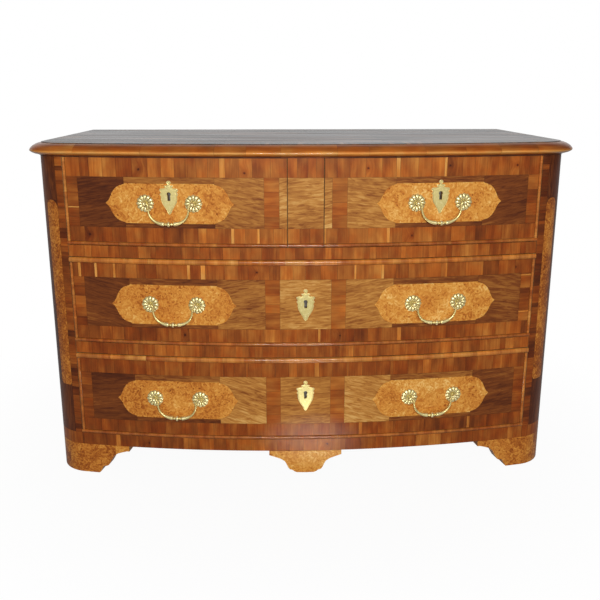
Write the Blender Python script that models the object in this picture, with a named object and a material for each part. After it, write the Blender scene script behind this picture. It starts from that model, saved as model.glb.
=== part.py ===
"""Bow-fronted chest of drawers: two short drawers over two long ones.

The carcass is a frame of posts and rails closed by side boards, a back board and dust boards.
Each drawer has a bowed front with raised beads, a box, a bottom, a lock with a sliding bolt,
an escutcheon and one or two drop handles, each a bail swinging between two rosette posts.

Metres, +Z up. The origin is on the floor under the middle of the top. The front faces -Y.
"""

import math

import bmesh
import bpy
from mathutils import Matrix, Vector

# Heights, from the floor up
FOOT_HEIGHT = 0.0784
BASE_RAIL_HEIGHT = 0.0313
BOTTOM_ROW_HEIGHT = 0.2151
LOWER_RAIL_HEIGHT = 0.0287
MIDDLE_ROW_HEIGHT = 0.2131
UPPER_RAIL_HEIGHT = 0.0284
TOP_ROW_HEIGHT = 0.2070
TOP_THICKNESS = 0.0300

# Plan of the carcass
BODY_WIDTH = 1.2640
BODY_DEPTH = 0.6880
POST_WIDTH = 0.0675
BOW_RISE = 0.0610
CORNER_RADIUS = 0.0850
MUNTIN_WIDTH = 0.0840

# Fits: the play of fixed joints, and the play round a drawer front
JOINT_GAP = 0.0003
FRONT_PLAY = 0.0010
SIDE_PLAY = 0.0015
OVERRUN = 0.0200
WELD = 0.000001
FLAT_ANGLE = math.radians(0.1)

# Steps along the curves
BOW_STEPS = 20
CORNER_STEPS = 6
BEAD_STEPS = 4
KEYHOLE_STEPS = 10
BAR_SIDES = 14

# Top moulding: how far it and its seam stand out from the carcass, and its section
NOSE_REACH = 0.0250
BACK_OVERHANG = 0.0060
SEAM_REACH = -0.0040
NOSE_DROP = 0.0188
NOSE_STEP = 0.0010
FILLET_HEIGHT = 0.0020
FILLET_REACH = 0.0030
NOSE_STEPS = 5

# Boards and posts
POST_TAIL = 0.0150
REAR_POST_WIDTH = 0.0500
REAR_POST_DEPTH = 0.0450
SIDE_THICKNESS = 0.0220
BACK_THICKNESS = 0.0140
BACK_RECESS = 0.0060
RAIL_END_DEPTH = 0.0600
MUNTIN_DEPTH = 0.1100
DUST_THICKNESS = 0.0120
GUIDE_HEIGHT = 0.0300

# Bracket feet and the apron drop under the base rail
BRACKET_LENGTH = 0.1870
BRACKET_SOLE = 0.1050
BRACKET_THICKNESS = 0.0300
BRACKET_STEP = 0.0140
APRON_HALF = 0.0905
APRON_DROP = 0.0590
APRON_THICKNESS = 0.0220
APRON_STEP = 0.0112

# Drawers
FRONT_THICKNESS = 0.0240
BOX_WALL = 0.0120
BOX_BOTTOM = 0.0080
BOX_TOP_CLEARANCE = 0.0120
BOX_BACK_CLEARANCE = 0.0150

# Raised beads on the drawer fronts: width on the face, and how proud they stand
TOP_BEAD_WIDTH = 0.0130
TOP_BEAD_PROUD = 0.0050
BOTTOM_BEAD_WIDTH = 0.0085
BOTTOM_BEAD_PROUD = 0.0040
SIDE_BEAD_WIDTH = 0.0070
SIDE_BEAD_PROUD = 0.0030

# Handles: how far they sit below the middle of their row, rosettes, their posts, and the bail between
TOP_HANDLE_FALL = 0.0013
MIDDLE_HANDLE_FALL = 0.0050
BOTTOM_HANDLE_FALL = 0.0031
HANDLE_INSET = 0.2500
HANDLE_SPAN = 0.1130
ROSETTE_RADIUS = 0.0212
ROSETTE_HEIGHT = 0.0062
ROSETTE_SEAT = 0.0001
PETAL_COUNT = 12
PETAL_RIDGE = 0.0012
POST_RADIUS = 0.0045
POST_HEAD = 0.0050
HINGE_STANDOFF = 0.0140
PIN_RADIUS = 0.0024
PIN_PLAY = 0.0003
PIN_TIP = 0.0035
BAIL_DROP = 0.0465
BAIL_BEND = 0.0040
BAIL_SWELL_RADIUS = 0.0048
BAIL_NECK_RADIUS = 0.0028
BAIL_KNOB_RADIUS = 0.0058

# Escutcheons, keyholes, locks and their bolts
ESCUTCHEON_WIDTH = 0.0440
ESCUTCHEON_HEIGHT = 0.0780
ESCUTCHEON_THICKNESS = 0.0022
KEYHOLE_ROUND = 0.0095
KEYHOLE_SLOT = 0.0068
KEYHOLE_LENGTH = 0.0200
TOP_KEY_RISE = 0.0150
MIDDLE_KEY_RISE = -0.0007
BOTTOM_KEY_RISE = 0.0114
LOCK_WIDTH = 0.0800
LOCK_DEPTH = 0.0140
LOCK_BELOW_KEY = 0.0220
BOLT_WIDTH = 0.0200
BOLT_THICKNESS = 0.0060
BOLT_LENGTH = 0.0300
BOLT_TRAVEL = 0.0090
BOLT_PLAY = 0.0005

# Outlines as shares of the sizes that they follow
# Bracket: (share of the way from its tip to its sole, share of the height left under its step)
BRACKET_SHARES = [(0.08, 1.00), (0.22, 0.95), (0.38, 0.88), (0.48, 0.79), (0.55, 0.66), (0.62, 0.49),
                  (0.69, 0.35), (0.76, 0.31), (0.85, 0.31), (0.90, 0.20), (0.94, 0.07), (1.00, 0.00)]
# Apron: (share of its half width, share of its drop below the step)
APRON_SHARES = [(1.00, 0.00), (0.84, 0.10), (0.68, 0.21), (0.57, 0.35), (0.52, 0.52), (0.48, 0.70),
                (0.43, 0.82), (0.36, 0.85), (0.30, 0.94), (0.24, 0.99), (0.00, 1.00)]
# Escutcheon: (share of its half width, share of its height from the bottom)
ESCUTCHEON_SHARES = [(0.14, 0.985), (0.24, 0.955), (0.22, 0.915), (0.11, 0.880), (0.30, 0.862),
                     (0.50, 0.845), (0.47, 0.820), (0.33, 0.795), (0.58, 0.775), (0.82, 0.770),
                     (0.99, 0.745), (1.00, 0.715), (0.92, 0.680), (0.86, 0.650), (0.95, 0.620),
                     (0.96, 0.580), (0.87, 0.545), (0.88, 0.490), (0.85, 0.420), (0.79, 0.360),
                     (0.70, 0.300), (0.58, 0.240), (0.44, 0.180), (0.31, 0.125), (0.24, 0.070),
                     (0.15, 0.025)]
KEYHOLE_SHARE = 0.535
# Rosette section: (share of its radius, share of its height, share of the petal ridge)
ROSETTE_SHARES = [(0.00, 1.00, 0.0), (0.24, 1.00, 0.0), (0.32, 0.55, 0.0), (0.62, 0.85, 1.0),
                  (0.90, 0.62, 1.0), (1.00, 0.00, 1.0), (0.00, 0.00, 0.0)]
PETAL_NOTCH_SHARE = 0.07
# Top moulding: the power of the two curves of its nose
NOSE_POWER_SHARE = 1.6
# Bail: the power of its rounded U, and where its knob, neck and swell lie along the half span
BAIL_POWER_SHARE = 2.6
KNOB_PLACE_SHARE = 0.05
NECK_PLACE_SHARE = 0.16
SWELL_PLACE_SHARE = 0.30
# Bail: where its path has points, in degrees round the U and round the bend at each end
BAIL_LOOP_DEGREES = (0, 6, 12, 20, 30, 40, 50, 60, 70, 80, 90)
BAIL_BEND_DEGREES = (30, 60, 90)

# Heights of the faces that the sizes above give
BASE_Z = FOOT_HEIGHT
BOTTOM_ROW_Z = BASE_Z + BASE_RAIL_HEIGHT
LOWER_RAIL_Z = BOTTOM_ROW_Z + BOTTOM_ROW_HEIGHT
MIDDLE_ROW_Z = LOWER_RAIL_Z + LOWER_RAIL_HEIGHT
UPPER_RAIL_Z = MIDDLE_ROW_Z + MIDDLE_ROW_HEIGHT
TOP_ROW_Z = UPPER_RAIL_Z + UPPER_RAIL_HEIGHT
UNDERSIDE_Z = TOP_ROW_Z + TOP_ROW_HEIGHT
HEIGHT = UNDERSIDE_Z + TOP_THICKNESS

# Places in plan that the sizes above give
BODY_HALF = BODY_WIDTH / 2
OPENING_HALF = BODY_HALF - POST_WIDTH
MUNTIN_HALF = MUNTIN_WIDTH / 2
HANDLE_PLACE = OPENING_HALF - HANDLE_INSET
FRONT_MIDDLE_Y = NOSE_REACH - (NOSE_REACH + BODY_DEPTH + BACK_OVERHANG) / 2
OPENING_Y = FRONT_MIDDLE_Y + BOW_RISE
BACK_Y = FRONT_MIDDLE_Y + BODY_DEPTH
TOP_BACK_Y = BACK_Y + BACK_OVERHANG
CORNER_START = math.asin((CORNER_RADIUS - POST_WIDTH) / CORNER_RADIUS)
CORNER_CENTRE_Y = OPENING_Y + CORNER_RADIUS * math.cos(CORNER_START)
POST_BACK_Y = CORNER_CENTRE_Y + POST_TAIL
RAIL_BACK_Y = OPENING_Y + RAIL_END_DEPTH
REAR_POST_Y = BACK_Y - REAR_POST_DEPTH
REAR_POST_INNER = BODY_HALF - REAR_POST_WIDTH
SIDE_INNER = BODY_HALF - SIDE_THICKNESS
BACK_BOARD_Y = BACK_Y - BACK_RECESS - BACK_THICKNESS
BOX_BACK_Y = BACK_BOARD_Y - BOX_BACK_CLEARANCE

# Finishes: colour, roughness, metallic
FINISHES = {
    "crossband_veneer": ("8a4a1e", 0.28, 0.0),
    "walnut_veneer": ("6e4120", 0.28, 0.0),
    "burr_veneer": ("c07a30", 0.26, 0.0),
    "dark_polish": ("4e3224", 0.22, 0.0),
    "pine": ("b08a5a", 0.75, 0.0),
    "oak": ("9a7a50", 0.70, 0.0),
    "brass": ("c4b478", 0.30, 1.0),
    "iron": ("5c5a58", 0.50, 1.0),
}

# Drawers: name, side (-1 left, 1 right, 0 full width), floor and ceiling of the row, key rise, handle fall
DRAWERS = [
    ("top_left", -1, TOP_ROW_Z, UNDERSIDE_Z, TOP_KEY_RISE, TOP_HANDLE_FALL),
    ("top_right", 1, TOP_ROW_Z, UNDERSIDE_Z, TOP_KEY_RISE, TOP_HANDLE_FALL),
    ("middle", 0, MIDDLE_ROW_Z, UPPER_RAIL_Z, MIDDLE_KEY_RISE, MIDDLE_HANDLE_FALL),
    ("bottom", 0, BOTTOM_ROW_Z, LOWER_RAIL_Z, BOTTOM_KEY_RISE, BOTTOM_HANDLE_FALL),
]


def clear_scene():
    """Remove whatever the scene holds, and start two collections."""
    for old in list(bpy.data.objects):
        bpy.data.objects.remove(old, do_unlink=True)
    for name in ("chest_of_drawers", "cutters"):
        collection = bpy.data.collections.new(name)
        bpy.context.scene.collection.children.link(collection)


def linear(hex_colour):
    """Linear colour of a hex sRGB colour."""
    channels = [int(hex_colour[i:i + 2], 16) / 255 for i in (0, 2, 4)]
    return [c / 12.92 if c <= 0.04045 else ((c + 0.055) / 1.055) ** 2.4 for c in channels] + [1.0]


def finish(piece, kind):
    """Give a piece its own Principled material of one of the finishes."""
    colour, roughness, metallic = FINISHES[kind]
    material = bpy.data.materials.new(piece.name + "_" + kind)
    material.use_nodes = True
    shader = material.node_tree.nodes["Principled BSDF"]
    shader.inputs["Base Color"].default_value = linear(colour)
    shader.inputs["Roughness"].default_value = roughness
    shader.inputs["Metallic"].default_value = metallic
    piece.data.materials.clear()
    piece.data.materials.append(material)
    return piece


def link_object(name, data, collection="chest_of_drawers"):
    """New object of some data in one of the two collections."""
    made = bpy.data.objects.new(name, data)
    bpy.data.collections[collection].objects.link(made)
    return made


def mesh_object(name, bm, collection="chest_of_drawers"):
    """New object from a bmesh, with its faces turned outwards."""
    bmesh.ops.recalc_face_normals(bm, faces=bm.faces)
    mesh = bpy.data.meshes.new(name)
    bm.to_mesh(mesh)
    bm.free()
    return link_object(name, mesh, collection)


def smooth(piece, angle=math.radians(40)):
    """Shade a round piece smooth, with its edges kept sharp."""
    piece.data.shade_smooth()
    piece.data.set_sharp_from_angle(angle=angle)
    return piece


def box_object(name, low, high, collection="chest_of_drawers", place=None):
    """Box between two corners, in the frame of place where one is given."""
    low, high = Vector(low), Vector(high)
    bm = bmesh.new()
    bmesh.ops.create_cube(bm, size=1.0, matrix=Matrix.Diagonal((high - low).to_4d()))
    made = mesh_object(name, bm, collection)
    made.matrix_world = (place or Matrix()) @ Matrix.Translation((low + high) / 2)
    return made


def cylinder_object(name, radius, start, end, collection="cutters", place=None):
    """Round bar from start to end, in the frame of place where one is given."""
    start, end = Vector(start), Vector(end)
    bm = bmesh.new()
    bmesh.ops.create_cone(bm, cap_ends=True, segments=BAR_SIDES, radius1=radius, radius2=radius,
                          depth=(end - start).length)
    made = mesh_object(name, bm, collection)
    half_facet = Matrix.Rotation(math.pi / BAR_SIDES, 4, "Z")
    turn = (end - start).to_track_quat("Z", "Y").to_matrix().to_4x4() @ half_facet
    made.matrix_world = (place or Matrix()) @ Matrix.Translation((start + end) / 2) @ turn
    return made


def weld_to_mesh(curve_object, collection):
    """Make a filled curve one closed mesh, in the same place."""
    bpy.context.view_layer.update()
    graph = bpy.context.evaluated_depsgraph_get()
    mesh = bpy.data.meshes.new_from_object(curve_object.evaluated_get(graph))
    bm = bmesh.new()
    bm.from_mesh(mesh)
    bmesh.ops.remove_doubles(bm, verts=bm.verts, dist=WELD)
    bmesh.ops.dissolve_limit(bm, angle_limit=FLAT_ANGLE, verts=bm.verts, edges=bm.edges)
    name, place = curve_object.name, curve_object.matrix_world.copy()
    bpy.data.objects.remove(curve_object)
    made = mesh_object(name, bm, collection)
    made.matrix_world = place
    return made


def outline_object(name, points, low, high, facing="plan", collection="chest_of_drawers", place=None):
    """Board of a flat outline between two levels.

    Seen in plan the points are x, y and the levels z. Seen from the front they are x, z and the
    levels y. Seen from the side they are y, z and the levels x.
    """
    curve = bpy.data.curves.new(name, "CURVE")
    curve.dimensions = "2D"
    curve.fill_mode = "BOTH"
    curve.extrude = (high - low) / 2
    spline = curve.splines.new("POLY")
    spline.points.add(len(points) - 1)
    for slot, (across, along) in zip(spline.points, points):
        slot.co = (across, along, 0.0, 1.0)
    spline.use_cyclic_u = True
    middle = (low + high) / 2
    frames = {
        "plan": Matrix.Translation((0, 0, middle)),
        "front": Matrix.Translation((0, middle, 0)) @ Matrix.Rotation(math.pi / 2, 4, "X"),
        "side": Matrix(((0, 0, 1, middle), (1, 0, 0, 0), (0, 1, 0, 0), (0, 0, 0, 1))),
    }
    made = link_object(name, curve, collection)
    made.matrix_world = (place or Matrix()) @ frames[facing]
    return weld_to_mesh(made, collection)


def mapped_grid(columns, rows, place):
    """Grid of faces whose point in column i and row j lies at place(i, j)."""
    bm = bmesh.new()
    bmesh.ops.create_grid(bm, x_segments=columns, y_segments=rows, size=0.5)
    for vertex in bm.verts:
        i = round((vertex.co.x + 0.5) * columns)
        j = round((vertex.co.y + 0.5) * rows)
        vertex.co = place(i, j)
    return bm


def boolean(piece, tool, operation="DIFFERENCE"):
    """Cut a piece by a tool, or join them, with a modifier that stays on the piece."""
    tool.hide_render = True
    tool.display_type = "WIRE"
    modifier = piece.modifiers.new(operation.lower(), "BOOLEAN")
    modifier.operation = operation
    modifier.object = tool
    return piece


def hang_on(piece, carrier):
    """Parent a piece to an empty without moving it."""
    bpy.context.view_layer.update()
    piece.parent = carrier
    piece.matrix_parent_inverse = carrier.matrix_world.inverted()
    return piece


def front_y(x):
    """The bow: a shallow parabola over the drawer opening."""
    return FRONT_MIDDLE_Y + BOW_RISE * (x / OPENING_HALF) ** 2


def front_slope(x):
    """Slope of the bow at x."""
    return 2 * BOW_RISE * x / OPENING_HALF ** 2


def front_frame(x, z):
    """Frame on the front face: X along the bow, -Y straight out of it, Z up."""
    turn = Matrix.Rotation(math.atan(front_slope(x)), 4, "Z")
    return Matrix.Translation((x, front_y(x), z)) @ turn


def steps_between(start, end, count):
    """Evenly spaced values from start to end, both included."""
    return [start + (end - start) * i / count for i in range(count + 1)]


def corner_arc():
    """Rounded right corner in plan: points with their outward directions, front to side."""
    arc = []
    for angle in steps_between(CORNER_START, math.pi / 2, CORNER_STEPS):
        out = Vector((math.sin(angle), -math.cos(angle)))
        centre = Vector((BODY_HALF - CORNER_RADIUS, CORNER_CENTRE_Y))
        arc.append((centre + CORNER_RADIUS * out, out))
    return arc


def carcass_path(back_y):
    """Plan outline from the left side round the front to the right: points and outward directions."""
    right = []
    for x in steps_between(0.0, OPENING_HALF, BOW_STEPS // 2):
        out = Vector((front_slope(x), -1.0)).normalized()
        right.append((Vector((x, front_y(x))), out))
    right += corner_arc()
    right.append((Vector((BODY_HALF, back_y)), Vector((1.0, 0.0))))
    left = [(Vector((-p.x, p.y)), Vector((-out.x, out.y))) for p, out in right[:0:-1]]
    return left + right


def bow_columns(x_low, x_high):
    """Places along the bow, as close together as BOW_STEPS sets them over the whole opening."""
    count = max(2, round(BOW_STEPS * (x_high - x_low) / (2 * OPENING_HALF)))
    return steps_between(x_low, x_high, count)


def bow_points(x_low, x_high, shift=0.0):
    """Points of the bow between two places, moved back by shift."""
    return [(x, front_y(x) + shift) for x in bow_columns(x_low, x_high)]


def bead_steps(edge, width, direction):
    """Places across a half-round bead, from its edge inwards."""
    angles = steps_between(0.0, math.pi, BEAD_STEPS)
    return [edge + direction * width / 2 * (1 - math.cos(angle)) for angle in angles]


def bead_height(distance, width, proud):
    """Height of a half-round bead at a distance from its edge."""
    if not 0.0 < distance < width:
        return 0.0
    return proud * math.sqrt(1 - (2 * distance / width - 1) ** 2)


def bowed_board(name, x_low, x_high, z_low, z_high, depth, beads):
    """Board that follows the bow, with half-round beads along the edges named in beads."""
    columns = bow_columns(x_low, x_high)
    rows = [z_low, z_high]
    if "left" in beads:
        columns = bead_steps(x_low, SIDE_BEAD_WIDTH, 1) + columns[1:]
    if "right" in beads:
        columns = columns[:-1] + bead_steps(x_high, SIDE_BEAD_WIDTH, -1)[::-1]
    if "bottom" in beads:
        rows = bead_steps(z_low, BOTTOM_BEAD_WIDTH, 1) + rows[1:]
    if "top" in beads:
        rows = rows[:-1] + bead_steps(z_high, TOP_BEAD_WIDTH, -1)[::-1]

    def proud(x, z):
        heights = [0.0]
        if "left" in beads:
            heights.append(bead_height(x - x_low, SIDE_BEAD_WIDTH, SIDE_BEAD_PROUD))
        if "right" in beads:
            heights.append(bead_height(x_high - x, SIDE_BEAD_WIDTH, SIDE_BEAD_PROUD))
        if "bottom" in beads:
            heights.append(bead_height(z - z_low, BOTTOM_BEAD_WIDTH, BOTTOM_BEAD_PROUD))
        if "top" in beads:
            heights.append(bead_height(z_high - z, TOP_BEAD_WIDTH, TOP_BEAD_PROUD))
        return max(heights)

    def place(i, j):
        x, z = columns[i], rows[j]
        return (x, front_y(x) - proud(x, z), z)

    bm = mapped_grid(len(columns) - 1, len(rows) - 1, place)
    grown = bmesh.ops.extrude_face_region(bm, geom=bm.faces[:])
    back = [item for item in grown["geom"] if isinstance(item, bmesh.types.BMVert)]
    for vertex in back:
        vertex.co.y = front_y(vertex.co.x) + depth
    back_edges = [item for item in grown["geom"] if isinstance(item, bmesh.types.BMEdge)]
    bmesh.ops.dissolve_limit(bm, angle_limit=FLAT_ANGLE, verts=back, edges=back_edges)
    return mesh_object(name, bm)


def lock_place(side):
    """Where a drawer's lock, keyhole and escutcheon stand across the front."""
    return side * HANDLE_PLACE


def bolt_box(clearance, height_low, height_high):
    """Corners of a lock bolt in its front frame, grown by a clearance."""
    middle = FRONT_THICKNESS - LOCK_DEPTH / 2
    half_width = BOLT_WIDTH / 2 + clearance
    half_depth = BOLT_THICKNESS / 2 + clearance
    return (-half_width, middle - half_depth, height_low), (half_width, middle + half_depth, height_high)


def cut_mortise(piece, side, face_z):
    """Mortise over a lock, in the face that the bolt rises into."""
    depth = BOLT_TRAVEL + 2 * BOLT_PLAY
    low, high = bolt_box(BOLT_PLAY, -OVERRUN, depth)
    tool = box_object(piece.name + "_mortise", low, high, "cutters", front_frame(lock_place(side), face_z))
    return boolean(piece, tool)


def rail(name, z_low, z_high):
    """Rail across the front, bowed before and straight behind."""
    half = OPENING_HALF - JOINT_GAP
    points = bow_points(-half, half) + [(half, RAIL_BACK_Y), (-half, RAIL_BACK_Y)]
    return outline_object(name, points, z_low, z_high)


def apron():
    """Shaped drop under the middle of the base rail, in the plane of the bow."""
    right = [(x * APRON_HALF, BASE_Z - APRON_STEP - z * (APRON_DROP - APRON_STEP)) for x, z in APRON_SHARES]
    lower = [(-x, z) for x, z in right] + right[-2::-1]

    def place(i, j):
        x, z = lower[i]
        return (x, front_y(x), (z, BASE_Z + JOINT_GAP)[j])

    bm = mapped_grid(len(lower) - 1, 1, place)
    grown = bmesh.ops.extrude_face_region(bm, geom=bm.faces[:])
    for item in grown["geom"]:
        if isinstance(item, bmesh.types.BMVert):
            item.co.y += APRON_THICKNESS
    return mesh_object("apron_drop", bm, "cutters")


def rails():
    """The three rails: two have a mortise for the lock below, and the base rail carries the apron."""
    upper = rail("upper_rail", UPPER_RAIL_Z, TOP_ROW_Z)
    lower = rail("lower_rail", LOWER_RAIL_Z, MIDDLE_ROW_Z)
    base = rail("base_rail", BASE_Z, BOTTOM_ROW_Z)
    cut_mortise(upper, 0, UPPER_RAIL_Z)
    cut_mortise(lower, 0, LOWER_RAIL_Z)
    boolean(base, apron(), "UNION")
    for piece in (upper, lower, base):
        finish(piece, "crossband_veneer")


def muntin():
    """Fixed upright between the short drawers, with the bead of the drawers along its foot."""
    piece = bowed_board("centre_muntin", -MUNTIN_HALF, MUNTIN_HALF, TOP_ROW_Z + JOINT_GAP,
                        UNDERSIDE_Z - JOINT_GAP, MUNTIN_DEPTH, ("bottom",))
    finish(piece, "walnut_veneer")


def mirror_x(points):
    """The same outline on the other side of the middle."""
    return [(-x, y) for x, y in points]


def front_posts():
    """Front corner posts with a rounded outer corner."""
    right = [(p.x, p.y) for p, out in corner_arc()]
    right += [(BODY_HALF, POST_BACK_Y), (OPENING_HALF, POST_BACK_Y)]
    z_low, z_high = BASE_Z + JOINT_GAP, UNDERSIDE_Z - JOINT_GAP
    finish(outline_object("front_right_post", right, z_low, z_high), "walnut_veneer")
    finish(outline_object("front_left_post", mirror_x(right), z_low, z_high), "walnut_veneer")


def bracket_profile(corner, direction):
    """Lower edge of a bracket foot, from its tip to its sole, running towards a corner.

    Returns points (along, z) for a bracket whose corner is at corner and which reaches away from it
    against direction.
    """
    tip = corner - direction * BRACKET_LENGTH
    sole = corner - direction * BRACKET_SOLE
    left_under_step = FOOT_HEIGHT - BRACKET_STEP
    return [(tip + share * (sole - tip), height * left_under_step) for share, height in BRACKET_SHARES]


def bracket_cutter(name, corner, direction, low, high, facing):
    """What is sawn away under a bracket, between its profile and the floor."""
    profile = bracket_profile(corner, direction)
    start = corner - direction * (BRACKET_LENGTH + OVERRUN)
    tip = corner - direction * BRACKET_LENGTH
    points = [(start, -OVERRUN), (start, FOOT_HEIGHT + OVERRUN), (tip, FOOT_HEIGHT + OVERRUN)]
    points += [(tip, FOOT_HEIGHT)] + profile + [(profile[-1][0], -OVERRUN)]
    return outline_object(name, points, low, high, facing, "cutters")


def front_foot_plan():
    """L-shaped plan of the right front foot, with the corner block inside it."""
    tip_x = BODY_HALF - BRACKET_LENGTH
    tip_y = OPENING_Y + BRACKET_LENGTH
    inner_x = BODY_HALF - BRACKET_THICKNESS
    inner_y = OPENING_Y + BRACKET_THICKNESS
    points = bow_points(tip_x, OPENING_HALF) + [(p.x, p.y) for p, out in corner_arc()[1:]]
    points += [(BODY_HALF, tip_y), (inner_x, tip_y), (inner_x, POST_BACK_Y), (OPENING_HALF, POST_BACK_Y)]
    points += [(OPENING_HALF, inner_y), (tip_x, front_y(tip_x) + BRACKET_THICKNESS)]
    return points


def front_feet():
    """Front bracket feet, sawn to the same profile on the front and on the side."""
    for name, side in (("front_left_foot", -1), ("front_right_foot", 1)):
        plan = front_foot_plan()
        if side < 0:
            plan = mirror_x(plan)
        foot = outline_object(name, plan, 0.0, FOOT_HEIGHT - JOINT_GAP)
        across = bracket_cutter(name + "_front_cut", side * BODY_HALF, side, FRONT_MIDDLE_Y - OVERRUN,
                                OPENING_Y + BRACKET_THICKNESS + OVERRUN, "front")
        sides = sorted((side * (BODY_HALF - BRACKET_THICKNESS - OVERRUN), side * (BODY_HALF + OVERRUN)))
        along = bracket_cutter(name + "_side_cut", OPENING_Y, -1, sides[0], sides[1], "side")
        boolean(foot, across)
        boolean(foot, along)
        finish(foot, "burr_veneer")


def widen_post(post, side):
    """Bring a rear post behind its bracket to its full width, inwards from the bracket's inner face.

    In the post's own frame X runs back, Y up and Z to the right.
    """
    bm = bmesh.new()
    bm.from_mesh(post.data)
    whole = bm.verts[:] + bm.edges[:] + bm.faces[:]
    bmesh.ops.bisect_plane(bm, geom=whole, dist=WELD, plane_co=(REAR_POST_Y, 0, 0), plane_no=(1, 0, 0))
    inner = []
    for face in bm.faces:
        is_inside = max(vertex.co.z * side for vertex in face.verts) < 0.0
        if is_inside and face.calc_center_median().x > REAR_POST_Y:
            inner.append(face)
    grown = bmesh.ops.extrude_face_region(bm, geom=inner)
    moved = [item for item in grown["geom"] if isinstance(item, bmesh.types.BMVert)]
    inwards = side * (BRACKET_THICKNESS - REAR_POST_WIDTH)
    bmesh.ops.translate(bm, verts=moved, vec=(0, 0, inwards))
    bmesh.ops.delete(bm, geom=inner, context="FACES")
    bmesh.ops.recalc_face_normals(bm, faces=bm.faces)
    bm.to_mesh(post.data)
    bm.free()


def rear_posts():
    """Rear corner posts that run down to the floor, with a bracket forward under the side."""
    foot_top, post_top = FOOT_HEIGHT - JOINT_GAP, UNDERSIDE_Z - JOINT_GAP
    for name, side in (("rear_left_post", -1), ("rear_right_post", 1)):
        points = [(BACK_Y - BRACKET_LENGTH, foot_top)] + bracket_profile(BACK_Y, 1)
        points += [(BACK_Y, 0.0), (BACK_Y, post_top), (REAR_POST_Y, post_top), (REAR_POST_Y, foot_top)]
        wing = sorted((side * (BODY_HALF - BRACKET_THICKNESS), side * BODY_HALF))
        post = outline_object(name, points, wing[0], wing[1], "side")
        widen_post(post, side)
        finish(post, "burr_veneer")


def side_boards():
    """Side boards between the posts."""
    for name, side in (("left_side_board", -1), ("right_side_board", 1)):
        inner, outer = sorted((side * SIDE_INNER, side * BODY_HALF))
        low = (inner, POST_BACK_Y + JOINT_GAP, BASE_Z)
        high = (outer, REAR_POST_Y - JOINT_GAP, UNDERSIDE_Z - JOINT_GAP)
        finish(box_object(name, low, high), "walnut_veneer")


def back_board():
    """Plain back board between the rear posts."""
    half = REAR_POST_INNER - JOINT_GAP
    low = (-half, BACK_BOARD_Y, BASE_Z)
    high = (half, BACK_BOARD_Y + BACK_THICKNESS, UNDERSIDE_Z - JOINT_GAP)
    finish(box_object("back_board", low, high), "pine")


def dust_board(name, top_z, with_centre_guide=False):
    """Board that the drawers above it slide on, with guides for their sides."""
    wide = SIDE_INNER - JOINT_GAP
    front, back = RAIL_BACK_Y + JOINT_GAP, BACK_BOARD_Y - JOINT_GAP
    low_z = top_z - DUST_THICKNESS
    board = box_object(name, (-wide, front, low_z), (wide, back, top_z))
    notches = [
        (OPENING_HALF - JOINT_GAP, front - OVERRUN, POST_BACK_Y + JOINT_GAP),
        (REAR_POST_INNER - JOINT_GAP, REAR_POST_Y - JOINT_GAP, back + OVERRUN),
    ]
    for number, (inner, y_low, y_high) in enumerate(notches):
        for side in (-1, 1):
            x_low, x_high = sorted((side * inner, side * (wide + OVERRUN)))
            low, high = (x_low, y_low, low_z - OVERRUN), (x_high, y_high, top_z + OVERRUN)
            boolean(board, box_object(f"{name}_notch_{number}_{side}", low, high, "cutters"))
    outer, start, end = wide - JOINT_GAP, POST_BACK_Y + 2 * JOINT_GAP, REAR_POST_Y - 2 * JOINT_GAP
    guides = [(OPENING_HALF, outer, start, end), (-outer, -OPENING_HALF, start, end)]
    if with_centre_guide:
        start = max(RAIL_BACK_Y, front_y(MUNTIN_HALF) + MUNTIN_DEPTH) + 2 * JOINT_GAP
        guides.append((-MUNTIN_HALF, MUNTIN_HALF, start, back - JOINT_GAP))
    for number, (x_low, x_high, y_low, y_high) in enumerate(guides):
        low = (x_low, y_low, top_z - DUST_THICKNESS / 2)
        guide = box_object(f"{name}_guide_{number}", low, (x_high, y_high, top_z + GUIDE_HEIGHT), "cutters")
        boolean(board, guide, "UNION")
    finish(board, "oak")


def nose_section():
    """Section of the top moulding: (reach beyond the carcass, height above its underside)."""
    widest = TOP_THICKNESS - NOSE_DROP
    power = 2 / NOSE_POWER_SHARE
    section = []
    for angle in steps_between(math.pi / 2, 0.0, NOSE_STEPS):
        reach = SEAM_REACH + (NOSE_REACH - SEAM_REACH) * max(math.cos(angle), 0.0) ** power
        section.append((reach, widest + (NOSE_DROP - NOSE_STEP) * math.sin(angle) ** power))
    for angle in steps_between(0.0, math.pi / 2, NOSE_STEPS)[1:]:
        reach = FILLET_REACH + (NOSE_REACH - FILLET_REACH) * max(math.cos(angle), 0.0) ** power
        section.append((reach, widest - (widest - FILLET_HEIGHT) * math.sin(angle) ** power))
    section += [(FILLET_REACH, 0.0), (SEAM_REACH, 0.0)]
    return section


def top_moulding():
    """Cross-grained moulding glued round the front and sides of the top board."""
    path = carcass_path(TOP_BACK_Y)
    section = nose_section()
    loop = section + section[:1]

    def place(i, j):
        point, out = path[i]
        reach, rise = loop[j]
        spot = point + out * reach
        return (spot.x, spot.y, UNDERSIDE_Z + rise)

    bm = mapped_grid(len(path) - 1, len(loop) - 1, place)
    bmesh.ops.remove_doubles(bm, verts=bm.verts, dist=WELD)
    bmesh.ops.holes_fill(bm, edges=[edge for edge in bm.edges if edge.is_boundary], sides=len(loop))
    finish(smooth(mesh_object("top_moulding", bm)), "crossband_veneer")


def top_board():
    """Top board inside its moulding, with mortises for the locks of the short drawers."""
    reach = SEAM_REACH - JOINT_GAP
    points = []
    for point, out in carcass_path(TOP_BACK_Y):
        spot = point + out * reach
        points.append((spot.x, spot.y))
    board = outline_object("top_board", points, UNDERSIDE_Z, HEIGHT)
    cut_mortise(board, -1, UNDERSIDE_Z)
    cut_mortise(board, 1, UNDERSIDE_Z)
    finish(board, "dark_polish")


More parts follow.
